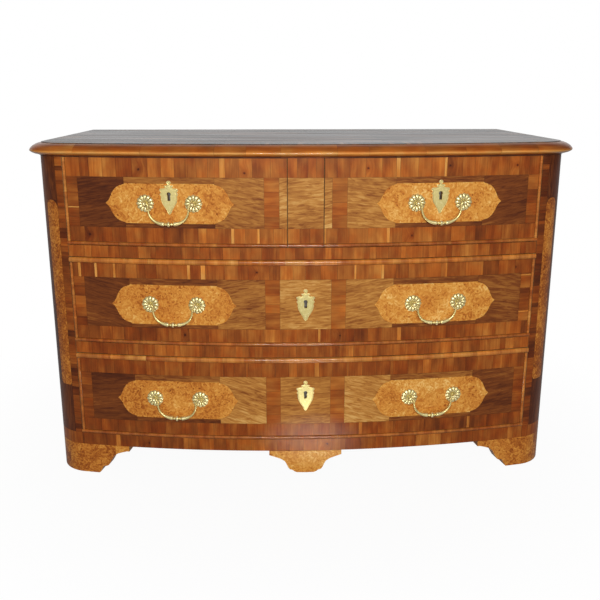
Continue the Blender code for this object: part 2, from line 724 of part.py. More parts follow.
def keyhole_cutter(name, place, depth):
    """Keyhole: a round hole over a slot, cut straight through to a depth behind the face."""
    radius = KEYHOLE_ROUND / 2
    slot_half = KEYHOLE_SLOT / 2
    round_z = KEYHOLE_LENGTH / 2 - radius
    lower = math.asin(slot_half / radius)
    angles = steps_between(-math.pi / 2 + lower, 3 * math.pi / 2 - lower, KEYHOLE_STEPS)
    outline = [(radius * math.cos(angle), round_z + radius * math.sin(angle)) for angle in angles]
    outline += [(-slot_half, -KEYHOLE_LENGTH / 2), (slot_half, -KEYHOLE_LENGTH / 2)]
    return outline_object(name, outline, -OVERRUN, depth, "front", "cutters", place)


def drawer_span(side):
    """Left and right edges of a drawer front."""
    outer = OPENING_HALF - FRONT_PLAY
    if side == 0:
        return -outer, outer
    inner = MUNTIN_HALF + FRONT_PLAY
    return (inner, outer) if side > 0 else (-outer, -inner)


def drawer_front(name, side, z_low, z_high, key_z):
    """Bowed drawer front with its beads, lock recess and keyhole."""
    beads = {0: ("left", "right", "bottom", "top"), -1: ("left", "bottom"), 1: ("right", "bottom")}[side]
    x_low, x_high = drawer_span(side)
    top = z_high - FRONT_PLAY
    front = bowed_board(name + "_front", x_low, x_high, z_low + FRONT_PLAY, top, FRONT_THICKNESS, beads)
    place = front_frame(lock_place(side), 0.0)
    recess_half = LOCK_WIDTH / 2 + JOINT_GAP
    low = (-recess_half, FRONT_THICKNESS - LOCK_DEPTH - JOINT_GAP, key_z - LOCK_BELOW_KEY - JOINT_GAP)
    high = (recess_half, FRONT_THICKNESS + OVERRUN, z_high + OVERRUN)
    boolean(front, box_object(name + "_lock_recess", low, high, "cutters", place))
    key_place = front_frame(lock_place(side), key_z)
    boolean(front, keyhole_cutter(name + "_front_keyhole", key_place, FRONT_THICKNESS))
    return finish(front, "burr_veneer")


def box_edges(side):
    """Outer faces of a drawer box."""
    x_low, x_high = drawer_span(side)
    return x_low + SIDE_PLAY, x_high - SIDE_PLAY


def drawer_bottom(name, side, z_low):
    """Bottom board under the drawer box; its front edge follows the bow."""
    x_low, x_high = box_edges(side)
    points = bow_points(x_low, x_high, FRONT_THICKNESS + JOINT_GAP)
    points += [(x_high, BOX_BACK_Y), (x_low, BOX_BACK_Y)]
    floor_z = z_low + JOINT_GAP
    return finish(outline_object(name + "_bottom", points, floor_z, floor_z + BOX_BOTTOM), "pine")


def drawer_box(name, side, z_low, z_high):
    """Sides and back of a drawer, dovetailed into one U behind the front."""
    x_low, x_high = box_edges(side)
    behind = FRONT_THICKNESS + JOINT_GAP
    inner_low, inner_high = x_low + BOX_WALL, x_high - BOX_WALL
    inner_back = BOX_BACK_Y - BOX_WALL
    points = [(x_low, front_y(x_low) + behind), (x_low, BOX_BACK_Y), (x_high, BOX_BACK_Y),
              (x_high, front_y(x_high) + behind), (inner_high, front_y(inner_high) + behind),
              (inner_high, inner_back), (inner_low, inner_back), (inner_low, front_y(inner_low) + behind)]
    box_z = z_low + JOINT_GAP + BOX_BOTTOM + JOINT_GAP
    box = outline_object(name + "_box", points, box_z, z_high - BOX_TOP_CLEARANCE)
    return finish(box, "oak")


def lock_case(name, side, z_high, key_z):
    """Lock case let into the back of the drawer front, with a channel for its bolt."""
    place = front_frame(lock_place(side), 0.0)
    top = z_high - FRONT_PLAY
    low = (-LOCK_WIDTH / 2, FRONT_THICKNESS - LOCK_DEPTH, key_z - LOCK_BELOW_KEY)
    case = box_object(name + "_lock_case", low, (LOCK_WIDTH / 2, FRONT_THICKNESS, top), place=place)
    low, high = bolt_box(JOINT_GAP, top - BOLT_LENGTH - JOINT_GAP, top + OVERRUN)
    boolean(case, box_object(name + "_bolt_channel", low, high, "cutters", place))
    return finish(case, "iron")


def lock_bolt(name, side, z_high):
    """Bolt that the key throws upwards, at rest flush with the top of its case."""
    top = z_high - FRONT_PLAY
    low, high = bolt_box(0.0, top - BOLT_LENGTH, top)
    bolt = box_object(name + "_lock_bolt", low, high, place=front_frame(lock_place(side), 0.0))
    return finish(bolt, "iron")


def escutcheon(name, side, key_z):
    """Pierced brass plate round the keyhole."""
    half_width = ESCUTCHEON_WIDTH / 2
    key_height = KEYHOLE_SHARE * ESCUTCHEON_HEIGHT
    right = [(x * half_width, z * ESCUTCHEON_HEIGHT - key_height) for x, z in ESCUTCHEON_SHARES]
    points = [(0.0, ESCUTCHEON_HEIGHT - key_height)] + right + [(0.0, -key_height)] + mirror_x(right)[::-1]
    place = front_frame(lock_place(side), key_z)
    seat = -JOINT_GAP
    plate = outline_object(name + "_escutcheon", points, seat - ESCUTCHEON_THICKNESS, seat, "front",
                           "chest_of_drawers", place)
    boolean(plate, keyhole_cutter(name + "_escutcheon_keyhole", place, OVERRUN))
    return finish(plate, "brass")


def rosette(name, handle_place, side):
    """Petalled rosette flat on the bow, with the post that holds one end of the bail."""
    place = handle_place @ Matrix.Translation((side * HANDLE_SPAN / 2, 0, 0))
    seat = front_frame(place.translation.x, place.translation.z)
    turns = 2 * PETAL_COUNT

    def spot(i, j):
        angle = 2 * math.pi * i / turns
        ridge = math.cos(PETAL_COUNT * angle)
        share, rise, wave = ROSETTE_SHARES[j]
        radius = share * ROSETTE_RADIUS * (1 - PETAL_NOTCH_SHARE * wave * (1 - ridge))
        height = rise * ROSETTE_HEIGHT + (rise > 0) * wave * ridge * PETAL_RIDGE / 2
        return (radius * math.cos(angle), -height, radius * math.sin(angle))

    bm = mapped_grid(turns, len(ROSETTE_SHARES) - 1, spot)
    bmesh.ops.remove_doubles(bm, verts=bm.verts, dist=WELD)
    plate = mesh_object(name, bm)
    plate.matrix_world = seat @ Matrix.Translation((0, -ROSETTE_SEAT, 0))
    head_end = HINGE_STANDOFF + POST_HEAD
    post = cylinder_object(name + "_post", POST_RADIUS, (0, -ROSETTE_HEIGHT / 2, 0), (0, -head_end, 0),
                           place=place)
    hole_half = POST_RADIUS + OVERRUN
    hole = cylinder_object(name + "_eye", PIN_RADIUS + PIN_PLAY, (-hole_half, -HINGE_STANDOFF, 0),
                           (hole_half, -HINGE_STANDOFF, 0), place=place)
    boolean(plate, post, "UNION")
    boolean(plate, hole)
    return finish(smooth(plate), "brass")


def bail_radius(x, half):
    """Thickness of the bail along its lower part: slim arms, a swell each side and a turned knob."""
    places = [(0.0, BAIL_KNOB_RADIUS), (KNOB_PLACE_SHARE * half, BAIL_KNOB_RADIUS),
              (NECK_PLACE_SHARE * half, BAIL_NECK_RADIUS), (SWELL_PLACE_SHARE * half, BAIL_SWELL_RADIUS),
              (half, PIN_RADIUS)]
    for (start, first), (end, last) in zip(places, places[1:]):
        if abs(x) <= end:
            return first + (last - first) * (abs(x) - start) / (end - start)
    return PIN_RADIUS


def bail_points():
    """Path of the bail in its own frame, with a radius at each point: half of it, middle to pin."""
    half = HANDLE_SPAN / 2 - POST_RADIUS - JOINT_GAP - BAIL_BEND
    loop_drop = BAIL_DROP - BAIL_BEND
    points = []
    for angle in map(math.radians, BAIL_LOOP_DEGREES):
        x = half * math.sin(angle) ** (2 / BAIL_POWER_SHARE)
        z = -BAIL_BEND - loop_drop * max(math.cos(angle), 0.0) ** (2 / BAIL_POWER_SHARE)
        points.append((x, z, bail_radius(x, half)))
    for angle in map(math.radians, BAIL_BEND_DEGREES):
        x = half + BAIL_BEND * (1 - math.cos(angle))
        points.append((x, -BAIL_BEND * (1 - math.sin(angle)), PIN_RADIUS))
    points.append((HANDLE_SPAN / 2 + PIN_TIP, 0.0, PIN_RADIUS))
    return points


def bail(name, place):
    """Cast bail handle whose ends turn out into the posts; its origin is on the hinge line."""
    right = bail_points()
    points = [(-x, z, radius) for x, z, radius in right[:0:-1]] + right
    curve = bpy.data.curves.new(name, "CURVE")
    curve.dimensions = "3D"
    curve.bevel_depth = 1.0
    curve.bevel_resolution = 2
    curve.use_fill_caps = True
    spline = curve.splines.new("POLY")
    spline.points.add(len(points) - 1)
    for slot, (x, z, radius) in zip(spline.points, points):
        slot.co = (x, 0.0, z, 1.0)
        slot.radius = radius
    piece = link_object(name, curve)
    piece.matrix_world = place @ Matrix.Translation((0, -HINGE_STANDOFF, 0))
    return finish(piece, "brass")


def handle(name, x, z):
    """One drop handle: two rosettes and the bail between them."""
    place = front_frame(x, z)
    left = rosette(name + "_left_rosette", place, -1)
    right = rosette(name + "_right_rosette", place, 1)
    return [left, right, bail(name + "_bail", place)]


def drawer(name, side, z_low, z_high, key_rise, handle_fall):
    """One complete drawer, hung on an empty that slides it out."""
    drawer_name = name + "_drawer"
    middle_z = (z_low + z_high) / 2
    key_z, handle_z = middle_z + key_rise, middle_z - handle_fall
    pieces = [
        drawer_front(drawer_name, side, z_low, z_high, key_z),
        drawer_box(drawer_name, side, z_low, z_high),
        drawer_bottom(drawer_name, side, z_low),
        lock_case(drawer_name, side, z_high, key_z),
        lock_bolt(drawer_name, side, z_high),
        escutcheon(drawer_name, side, key_z),
    ]
    if side == 0:
        pieces += handle(name + "_left", -HANDLE_PLACE, handle_z)
        pieces += handle(name + "_right", HANDLE_PLACE, handle_z)
    else:
        pieces += handle(name, side * HANDLE_PLACE, handle_z)
    slide = link_object(drawer_name + "_slide", None)
    slide.location = (lock_place(side), front_y(lock_place(side)), middle_z)
    for piece in pieces:
        hang_on(piece, slide)


def build():
    """Put the chest of drawers together."""
    clear_scene()
    front_feet()
    rear_posts()
    front_posts()
    rails()
    muntin()
    side_boards()
    back_board()
    dust_board("bottom_board", BOTTOM_ROW_Z)
    dust_board("lower_dust_board", MIDDLE_ROW_Z)
    dust_board("upper_dust_board", TOP_ROW_Z, with_centre_guide=True)
    top_board()
    top_moulding()
    for name, side, z_low, z_high, key_rise, handle_fall in DRAWERS:
        drawer(name, side, z_low, z_high, key_rise, handle_fall)


build()
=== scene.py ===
"""Looks of the bow-fronted chest of drawers: its veneers, mouldings, polish and brass.

Metres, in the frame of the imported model: +Z up, the front faces -Y and the floor is at z = 0.
"""

import math

import bmesh
import bpy
import numpy as np
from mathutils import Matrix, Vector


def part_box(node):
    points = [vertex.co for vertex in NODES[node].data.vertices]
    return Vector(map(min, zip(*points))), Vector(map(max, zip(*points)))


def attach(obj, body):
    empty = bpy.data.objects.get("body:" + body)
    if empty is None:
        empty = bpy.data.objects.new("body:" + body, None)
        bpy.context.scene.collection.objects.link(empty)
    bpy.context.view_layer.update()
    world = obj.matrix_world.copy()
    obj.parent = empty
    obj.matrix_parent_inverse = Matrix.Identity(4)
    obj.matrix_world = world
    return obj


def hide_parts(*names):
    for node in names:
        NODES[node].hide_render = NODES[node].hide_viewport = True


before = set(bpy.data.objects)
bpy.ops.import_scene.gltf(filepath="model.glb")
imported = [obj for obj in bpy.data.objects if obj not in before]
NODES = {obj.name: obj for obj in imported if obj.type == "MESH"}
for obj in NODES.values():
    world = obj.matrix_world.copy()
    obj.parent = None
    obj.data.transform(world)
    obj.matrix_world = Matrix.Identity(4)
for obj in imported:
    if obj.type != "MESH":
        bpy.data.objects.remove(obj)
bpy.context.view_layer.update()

# The room: a soft lamp over the photographer's head, and walls that are pale before and behind the chest
# and dim beside it. The floor is paper that looks white and keeps the chest's shadow. To other light it
# is a brown carpet, which brass and polish mirror as lit, with a patch of daylight before the apron.
CAMERA_PLACE = (-0.0754, -2.1153, 0.9496)
CAMERA_PITCH = 0.263463
CAMERA_YAW = 0.034765
CAMERA_LENS = 46.65
LAMP_PLACE = (0.0, -3.3, 1.5)
LAMP_AIM = (0.0, -0.2, 0.5)
LAMP_SIZE = (1.0, 0.6)
LAMP_WATTS = 66.0
WHITE = (1.0, 1.0, 1.0, 1.0)
PAPER_COLOUR = "e4e2df"
CARPET_COLOUR = "6f6257"
FLOOR_HALF = 9.0
FLOOR_SHADOW_SHARE = 0.05
SHADOW_NEAR = 0.45
SHADOW_FAR = 1.25
FLOOR_SHEEN = 0.40
PATCH_PLACE = (0.03, -0.58, 0.0)
PATCH_NEAR = 0.02
PATCH_FAR = 0.20
PATCH_BRIGHT = 9.0
SKY_BRIGHT = 0.85
SKY_DIM = 0.10
# How much of a direction runs towards the front or back where the dim walls end and the pale ones begin
SKY_DIM_END = 0.45
SKY_BRIGHT_START = 0.95


def linear(colour):
    """Linear colour of an sRGB hex value."""
    channels = [int(colour[i:i + 2], 16) / 255 for i in (0, 2, 4)]
    return [c / 12.92 if c <= 0.04045 else ((c + 0.055) / 1.055) ** 2.4 for c in channels] + [1.0]


def wire(tree, node, inputs):
    """Fills a node's inputs: a socket is linked to it, and any other value is its own."""
    for name, value in inputs.items():
        if isinstance(value, bpy.types.NodeSocket):
            tree.links.new(value, node.inputs[name])
        else:
            node.inputs[name].default_value = value


def add(tree, kind, inputs=(), stops=(), **settings):
    """Adds a node with its settings, its ramp's stops, and values or links into it. Gives its outputs."""
    made = tree.nodes.new("ShaderNode" + kind)
    for name, value in settings.items():
        setattr(made, name, value)
    if stops:
        elements = made.color_ramp.elements
        while len(elements) < len(stops):
            elements.new(1.0)
        for element, (place, colour) in zip(elements, stops):
            element.position = place
            element.color = linear(colour)
    wire(tree, made, dict(inputs))
    return made.outputs


def white_to_the_lens(tree):
    """1 for rays from the lens and for rays through glass, else 0."""
    path = add(tree, "LightPath")
    either = {0: path["Is Camera Ray"], 1: path["Is Transmission Ray"]}
    return add(tree, "Math", either, operation="MAXIMUM")[0]


def make_floor():
    """A sheet whose white is mostly its own; near the chest a share of it takes light and shadow."""
    mesh = bpy.data.meshes.new("floor_paper")
    corners = [(x * FLOOR_HALF, y * FLOOR_HALF, 0.0) for x, y in ((-1, -1), (1, -1), (1, 1), (-1, 1))]
    mesh.from_pydata(corners, [], [(0, 1, 2, 3)])
    floor = bpy.data.objects.new("floor_paper", mesh)
    bpy.context.scene.collection.objects.link(floor)
    material = bpy.data.materials.new("white_paper_over_carpet")
    material.use_nodes = True
    tree = material.node_tree
    tree.nodes.clear()
    place = add(tree, "TexCoord")["Object"]
    away = add(tree, "VectorMath", {0: place}, operation="LENGTH")["Value"]
    share = add(tree, "MapRange", {0: away, 1: SHADOW_NEAR, 2: SHADOW_FAR, 3: FLOOR_SHADOW_SHARE, 4: 0.0},
                interpolation_type="SMOOTHSTEP")[0]
    glow = add(tree, "Emission", {"Color": WHITE, "Strength": 1.0})
    paper = add(tree, "BsdfDiffuse", {"Color": linear(PAPER_COLOUR)})
    shown = add(tree, "MixShader", {0: share, 1: glow[0], 2: paper[0]})
    carpet = add(tree, "BsdfDiffuse", {"Color": linear(CARPET_COLOUR)})
    from_patch = add(tree, "VectorMath", {0: place, 1: PATCH_PLACE}, operation="DISTANCE")["Value"]
    fading = {0: from_patch, 1: PATCH_NEAR, 2: PATCH_FAR, 3: PATCH_BRIGHT, 4: FLOOR_SHEEN}
    sheen = add(tree, "MapRange", fading, interpolation_type="SMOOTHSTEP")[0]
    reflected = add(tree, "Emission", {"Color": WHITE, "Strength": sheen})
    glossy = add(tree, "LightPath")["Is Glossy Ray"]
    below = add(tree, "MixShader", {0: glossy, 1: carpet[0], 2: reflected[0]})
    mixed = add(tree, "MixShader", {0: white_to_the_lens(tree), 1: below[0], 2: shown[0]})
    add(tree, "OutputMaterial", {"Surface": mixed[0]})
    mesh.materials.append(material)


def make_sky():
    """Walls bright before and behind the chest and dim beside it, all white to the lens."""
    world = bpy.data.worlds.new("pale_walls")
    world.use_nodes = True
    tree = world.node_tree
    tree.nodes.clear()
    along = add(tree, "SeparateXYZ", {0: add(tree, "TexCoord")["Generated"]})[1]
    depth = add(tree, "Math", {0: along}, operation="ABSOLUTE")[0]
    level = add(tree, "MapRange", {0: depth, 1: SKY_DIM_END, 2: SKY_BRIGHT_START, 3: SKY_DIM, 4: SKY_BRIGHT},
                interpolation_type="SMOOTHSTEP")[0]
    walls = add(tree, "Background", {"Color": WHITE, "Strength": level})
    white = add(tree, "Background", {"Color": WHITE, "Strength": 1.0})
    mixed = add(tree, "MixShader", {0: white_to_the_lens(tree), 1: walls[0], 2: white[0]})
    add(tree, "OutputWorld", {"Surface": mixed[0]})
    bpy.context.scene.world = world


def make_lamp():
    """A rectangular soft lamp before the chest, turned to its middle."""
    lamp = bpy.data.lights.new("soft_front_lamp", "AREA")
    lamp.shape = "RECTANGLE"
    lamp.size, lamp.size_y = LAMP_SIZE
    lamp.energy = LAMP_WATTS
    holder = bpy.data.objects.new("soft_front_lamp", lamp)
    bpy.context.scene.collection.objects.link(holder)
    holder.location = LAMP_PLACE
    direction = holder.location.copy()
    direction.xyz = [aim - place for aim, place in zip(LAMP_AIM, LAMP_PLACE)]
    holder.rotation_euler = direction.to_track_quat("-Z", "Y").to_euler()
    holder.visible_camera = False


def make_camera():
    """The photographer's camera, looking a little down and a little to the right."""
    lens = bpy.data.cameras.new("camera")
    lens.lens = CAMERA_LENS
    camera = bpy.data.objects.new("camera", lens)
    bpy.context.scene.collection.objects.link(camera)
    camera.location = CAMERA_PLACE
    camera.rotation_euler = (math.pi / 2 - CAMERA_PITCH, 0.0, -CAMERA_YAW)
    bpy.context.scene.camera = camera


make_floor()
make_sky()
make_lamp()
make_camera()
bpy.context.scene.view_settings.view_transform = "Standard"

# The hidden joinery: posts, rails, boards and drawer boxes sawn from oak and pine, planed and left
# bare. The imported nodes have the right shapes, so they stay and only take their woods.
# Growth rings about 3 mm apart run along each board, with fine pores and a few darker streaks.
PINE_STOPS = [(0.0, "6f4a27"), (0.35, "97703f"), (0.62, "ae8650"), (1.0, "c49c66")]
OAK_STOPS = [(0.0, "54371f"), (0.35, "7b5832"), (0.65, "937042"), (1.0, "ab8a59")]
RING_SPACING = 0.0032
PORE_SPACING = 0.0006
STAIN_SPACING = 0.10
# What rings, pores and stain come to together where the wood is darkest and where it is palest
BARE_WOOD_DARKEST = 1.05
BARE_WOOD_PALEST = 1.95
BARE_WOOD_RELIEF = 0.0006
BARE_WOOD_ROUGHNESS = 0.72
BARE_WOOD_SPECULAR = 0.25
LONG_GRAIN = 26.0


def new_material(name):
    """A new material, its node tree and its shader."""
    material = bpy.data.materials.new(name)
    material.use_nodes = True
    tree = material.node_tree
    return material, tree, tree.nodes["Principled BSDF"]


def bare_wood(name, stops, along, across=""):
    """Planed bare softwood or oak with its grain along one axis of the piece.

    A drawer's back stands across its sides, so faces that look along that axis have theirs across it.
    """
    material, tree, shader = new_material(name)
    place = add(tree, "TexCoord")["Object"]
    squeeze = {axis: [1.0 / LONG_GRAIN if axis == other else 1.0 for other in "xyz"] for axis in "xyz"}
    stretched = add(tree, "Mapping", {"Vector": place, "Scale": squeeze[along]})[0]
    if across:
        outward = add(tree, "SeparateXYZ", {0: add(tree, "NewGeometry")["Normal"]})["xyz".index(along)]
        facing = add(tree, "Math", {0: outward, 1: outward}, operation="MULTIPLY")[0]
        turned = add(tree, "Math", {0: facing, 1: 0.5}, operation="GREATER_THAN")[0]
        crossed = add(tree, "Mapping", {"Vector": place, "Scale": squeeze[across]})[0]
        stretched = add(tree, "Mix", {0: turned, 4: stretched, 5: crossed}, data_type="VECTOR")[1]
    rings = add(tree, "TexNoise", {"Vector": stretched, "Scale": 0.25 / RING_SPACING, "Detail": 3.0})[0]
    pores = add(tree, "TexNoise", {"Vector": stretched, "Scale": 0.5 / PORE_SPACING, "Detail": 2.0})[0]
    stain = add(tree, "TexNoise", {"Vector": place, "Scale": 0.5 / STAIN_SPACING, "Detail": 3.0})[0]
    both = add(tree, "Math", {0: rings, 1: pores}, operation="ADD")[0]
    all_three = add(tree, "Math", {0: both, 1: stain}, operation="ADD")[0]
    tone = add(tree, "MapRange", {0: all_three, 1: BARE_WOOD_DARKEST, 2: BARE_WOOD_PALEST})[0]
    wire(tree, shader, {
        "Base Color": add(tree, "ValToRGB", {0: tone}, stops=stops)[0],
        "Normal": add(tree, "Bump", {"Height": both, "Strength": 0.35, "Distance": BARE_WOOD_RELIEF})[0],
        "Roughness": BARE_WOOD_ROUGHNESS,
        "Specular IOR Level": BARE_WOOD_SPECULAR,
    })
    return material


def finish_nodes(material, *names):
    """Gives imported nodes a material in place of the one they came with."""
    for name in names:
        slots = NODES[name].data.materials
        slots.clear()
        slots.append(material)


DRAWER_NAMES = ("top_left_drawer", "top_right_drawer", "middle_drawer", "bottom_drawer")
pine_along_x = bare_wood("planed_pine_across", PINE_STOPS, "x")
oak_along_x = bare_wood("planed_oak_across", OAK_STOPS, "x")
oak_along_y = bare_wood("planed_oak_deep", OAK_STOPS, "y", across="x")
oak_along_z = bare_wood("planed_oak_upright", OAK_STOPS, "z")
finish_nodes(oak_along_z, "front_left_post", "front_right_post", "rear_left_post", "rear_right_post",
             "centre_muntin")
finish_nodes(oak_along_y, "left_side_board", "right_side_board", *[d + "_box" for d in DRAWER_NAMES])
finish_nodes(oak_along_x, "base_rail", "lower_rail", "upper_rail", "top_board", "bottom_board",
             "lower_dust_board", "upper_dust_board", *[d + "_front" for d in DRAWER_NAMES])
finish_nodes(pine_along_x, "back_board", *[d + "_bottom" for d in DRAWER_NAMES])

# Front bracket feet: blocks faced with thick burr veneer, sawn to an ogee bracket on the front and the
# side. Each face is a long leaf and a small paler one at the bracket's tip.
# The burr is a knotted growth, so its colour swirls between orange and brown round pin-head eyes.
BODY_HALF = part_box("right_side_board")[1].x
OPENING_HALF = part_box("front_right_post")[0].x
FRONT_MIDDLE_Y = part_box("upper_rail")[0].y
BOW_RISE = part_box("front_right_post")[0].y - FRONT_MIDDLE_Y
CORNER_RADIUS = 0.0850
CORNER_START = math.asin((CORNER_RADIUS - BODY_HALF + OPENING_HALF) / CORNER_RADIUS)
CORNER_X = BODY_HALF - CORNER_RADIUS
CORNER_Y = FRONT_MIDDLE_Y + BOW_RISE + CORNER_RADIUS * math.cos(CORNER_START)
CORNER_END = OPENING_HALF + CORNER_RADIUS * (math.pi / 2 - CORNER_START)
BACK_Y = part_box("rear_right_post")[1].y
GIRTH_BACK = CORNER_END + BACK_Y - CORNER_Y
SIDES = (("left", -1), ("right", 1))
FOOT_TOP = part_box("right_side_board")[0].z
FOOT_LENGTH = 0.1870
FOOT_SOLE = 0.1050
FOOT_THICKNESS = 0.0300
FOOT_STEP = 0.0140
FOOT_COLUMN = 0.002
FOOT_GRAIN_TURN = 20.0
# Ogee of the bracket: (share of the way from its tip to its sole, share of the height under its step)
FOOT_CURVE = [(0.00, 1.00), (0.08, 1.00), (0.22, 0.95), (0.38, 0.88), (0.48, 0.79), (0.55, 0.66),
              (0.62, 0.49), (0.69, 0.35), (0.76, 0.31), (0.85, 0.31), (0.90, 0.20), (0.94, 0.07),
              (1.00, 0.00)]
# Section of the bracket: (share of the way from its sawn edge up to the carcass, share of its thickness)
FOOT_SECTION = [(0.0, 0.0), (0.12, 0.0), (0.5, 0.0), (1.0, 0.0), (1.0, 1.0), (0.0, 1.0)]
# Joints of a foot's leaves, as girths: its tip, the end of the small leaf, the corner, and its back end
FOOT_TIP = BODY_HALF - FOOT_LENGTH
FOOT_BACK = CORNER_END + FRONT_MIDDLE_Y + BOW_RISE + FOOT_LENGTH - CORNER_Y
FOOT_SMALL_LEAF = 0.036
FOOT_CORNER_JOINT = 0.610
FOOT_JOINTS = (FOOT_TIP, FOOT_TIP + FOOT_SMALL_LEAF, FOOT_CORNER_JOINT, FOOT_BACK)
# Tones of each foot's leaves from its tip; the leaf round the corner is darker as painted shade
FOOT_TONES = {"left": (0.60, 0.42, 0.32), "right": (0.42, 0.42, 0.32)}
# Half of the gap between two leaves, and how far they stand out of the solid that they are laid on
SEAM = 0.00008
VENEER_PROUD = 0.0004
BURR_STOPS = [(0.0, "6f350f"), (0.28, "a2571b"), (0.52, "cb8031"), (0.78, "e09f47"), (1.0, "f3c678")]
BURR_SWIRL = 0.0065
BURR_EYE = 0.0030
BURR_EYELESS_SHARE = 0.68
BURR_PATCH = 0.030
BURR_WARP = 0.006
BURR_WARP_SPACING = 0.005
POLISH_IOR = 1.5
POLISH_WEIGHT = 0.25
POLISH_ROUGHNESS = 0.10
POLISH_WAVE = 0.0002
POLISH_WAVE_SPACING = 0.020
WOOD_RELIEF = 0.00006
WOOD_ROUGHNESS = 0.45
WOOD_SPECULAR = 0.10
GLUE_LINE = 0.0003
GLUE_LINE_SHADE = 0.60
# How far apart, in metres, two leaves with different seeds lie in the log's figure
LOG_SPREAD = 9.0

dice = np.random.default_rng(1740)


def outline(girth):
    """Plan of the carcass at a girth from the middle of its front: x, y, and the way straight out.

    Over the drawers the girth is x itself, and y a parabola. From there it turns the corner, its
    angle growing by girth over radius, and then runs straight back along the side.
    """
    hand, far = np.sign(girth), np.abs(np.asarray(girth, float))
    slope = 2 * BOW_RISE * far / OPENING_HALF ** 2
    steep = np.hypot(slope, 1.0)
    turn = CORNER_START + (far - OPENING_HALF) / CORNER_RADIUS
    zones = [far <= OPENING_HALF, far <= CORNER_END]
    x = np.select(zones, [far, CORNER_X + CORNER_RADIUS * np.sin(turn)], BODY_HALF)
    y = np.select(zones, [FRONT_MIDDLE_Y + BOW_RISE * (far / OPENING_HALF) ** 2,
                          CORNER_Y - CORNER_RADIUS * np.cos(turn)], CORNER_Y + far - CORNER_END)
    out_x = np.select(zones, [slope / steep, np.sin(turn)], 1.0)
    out_y = np.select(zones, [-1.0 / steep, -np.cos(turn)], 0.0)
    return hand * x, y, hand * out_x, out_y


def carcass_face(girth, height):
    """Points on the skin of the carcass at girths and heights, and the directions straight out of it."""
    x, y, out_x, out_y = outline(girth)
    return np.stack([x, y, height + 0 * x], -1), np.stack([out_x, out_y, 0 * x], -1)


def bar_faces(sections, corners, ring):
    """Faces of a closed bar of so many sections with so many corners each: sides, then two ends.

    An end is a ladder of quads across the section, so the edge of a curved leaf is closed along its
    curve. A ring has no ends, because its last section meets its first.
    """
    i, j = np.meshgrid(np.arange(sections - (not ring)), np.arange(corners), indexing="ij")
    k, n = (j + 1) % corners, (i + 1) % sections
    sides = np.stack([i * corners + j, n * corners + j, n * corners + k, i * corners + k], -1)
    rung = np.arange(corners // 2 - 1)
    first = list(np.stack([rung, rung + 1, corners - 2 - rung, corners - 1 - rung], -1))
    if corners % 2:
        first.append(np.arange(corners // 2 - 1, corners // 2 + 2))
    last = [(sections - 1) * corners + end[::-1] for end in first]
    return sides.reshape(-1, 4), [] if ring else first + last


def bar_volume(points, ring):
    """Volume that the faces of a closed bar enclose, less than nothing if they are turned inwards."""
    sections, corners = points.shape[:2]
    flat = points.reshape(-1, 3) - points.reshape(-1, 3).mean(0)
    sides, ends = bar_faces(sections, corners, ring)
    fans = [np.stack([np.full(len(end) - 2, end[0]), end[1:-1], end[2:]], -1) for end in ends]
    triangles = np.concatenate([sides[:, [0, 1, 2]], sides[:, [0, 2, 3]], *fans])
    a, b, c = (flat[triangles[:, n]] for n in range(3))
    return np.einsum("ij,ij->i", a, np.cross(b, c)).sum() / 6


def make_piece(mesh, material, body, sharp_degrees):
    """An object of a mesh and under its name, smooth but for its sharp edges, that rides on a body."""
    mesh.shade_smooth()
    mesh.set_sharp_from_angle(angle=math.radians(sharp_degrees))
    mesh.materials.append(material)
    piece = bpy.data.objects.new(mesh.name, mesh)
    bpy.context.scene.collection.objects.link(piece)
    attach(piece, body)
    return piece


def put_together(name, bars, material, body, sharp_degrees=35.0):
    """One object of many closed bars, each a dictionary of its points and what the wood is like there."""
    points, faces, start = [], [], 0
    for bar in bars:
        sections, corners = bar["points"].shape[:2]
        ring = bar.get("ring", False)
        sides, ends = bar_faces(sections, corners, ring)
        turned = -1 if bar_volume(bar["points"], ring) < 0 else 1
        faces += (sides[:, ::turned] + start).tolist() + [(end[::turned] + start).tolist() for end in ends]
        points.append(bar["points"].reshape(-1, 3))
        start += sections * corners
    mesh = bpy.data.meshes.new(name)
    mesh.from_pydata(np.concatenate(points).tolist(), [], faces)
    for title in ("leaf", "rim"):
        if title in bars[0]:
            marks = np.concatenate([bar[title].reshape(-1, 4) for bar in bars])
            mesh.attributes.new(title, "FLOAT_COLOR", "POINT").data.foreach_set("color", marks.ravel())
    if "grain" in bars[0]:
        grain = np.concatenate([bar["grain"].reshape(-1, 2) for bar in bars])
        corner_point = np.zeros(len(mesh.loops), int)
        mesh.loops.foreach_get("vertex_index", corner_point)
        mesh.uv_layers.new(name="grain").data.foreach_set("uv", grain[corner_point].ravel())
    return make_piece(mesh, material, body, sharp_degrees)


def wood_marks(along, across, share_s, share_t, tone, turn, knot=None):
    """What a leaf's wood is like at each point: grain map, tone, seed, knot, and the way to its four edges.

    The grain map is the point's own place in metres, turned by an angle. The way to an edge is the
    share of the leaf up to there, times its width or height.
    """
    angle = math.radians(turn)
    grain = np.stack([along * math.cos(angle) + across * math.sin(angle),
                      across * math.cos(angle) - along * math.sin(angle)], -1)
    centre = np.array([along.mean(), across.mean()]) if knot is None else np.array(knot)
    away = 1.0 if knot is None else 0.0
    seed = dice.random()
    marks = np.stack([0 * along + tone, 0 * along + seed, along - centre[0] + away,
                      across - centre[1] + away], -1)
    wide, high = np.ptp(along), np.ptp(across)
    rim = np.stack([share_s * wide, (1 - share_s) * wide, share_t * high, (1 - share_t) * high], -1)
    return {"grain": grain, "leaf": marks, "rim": rim}


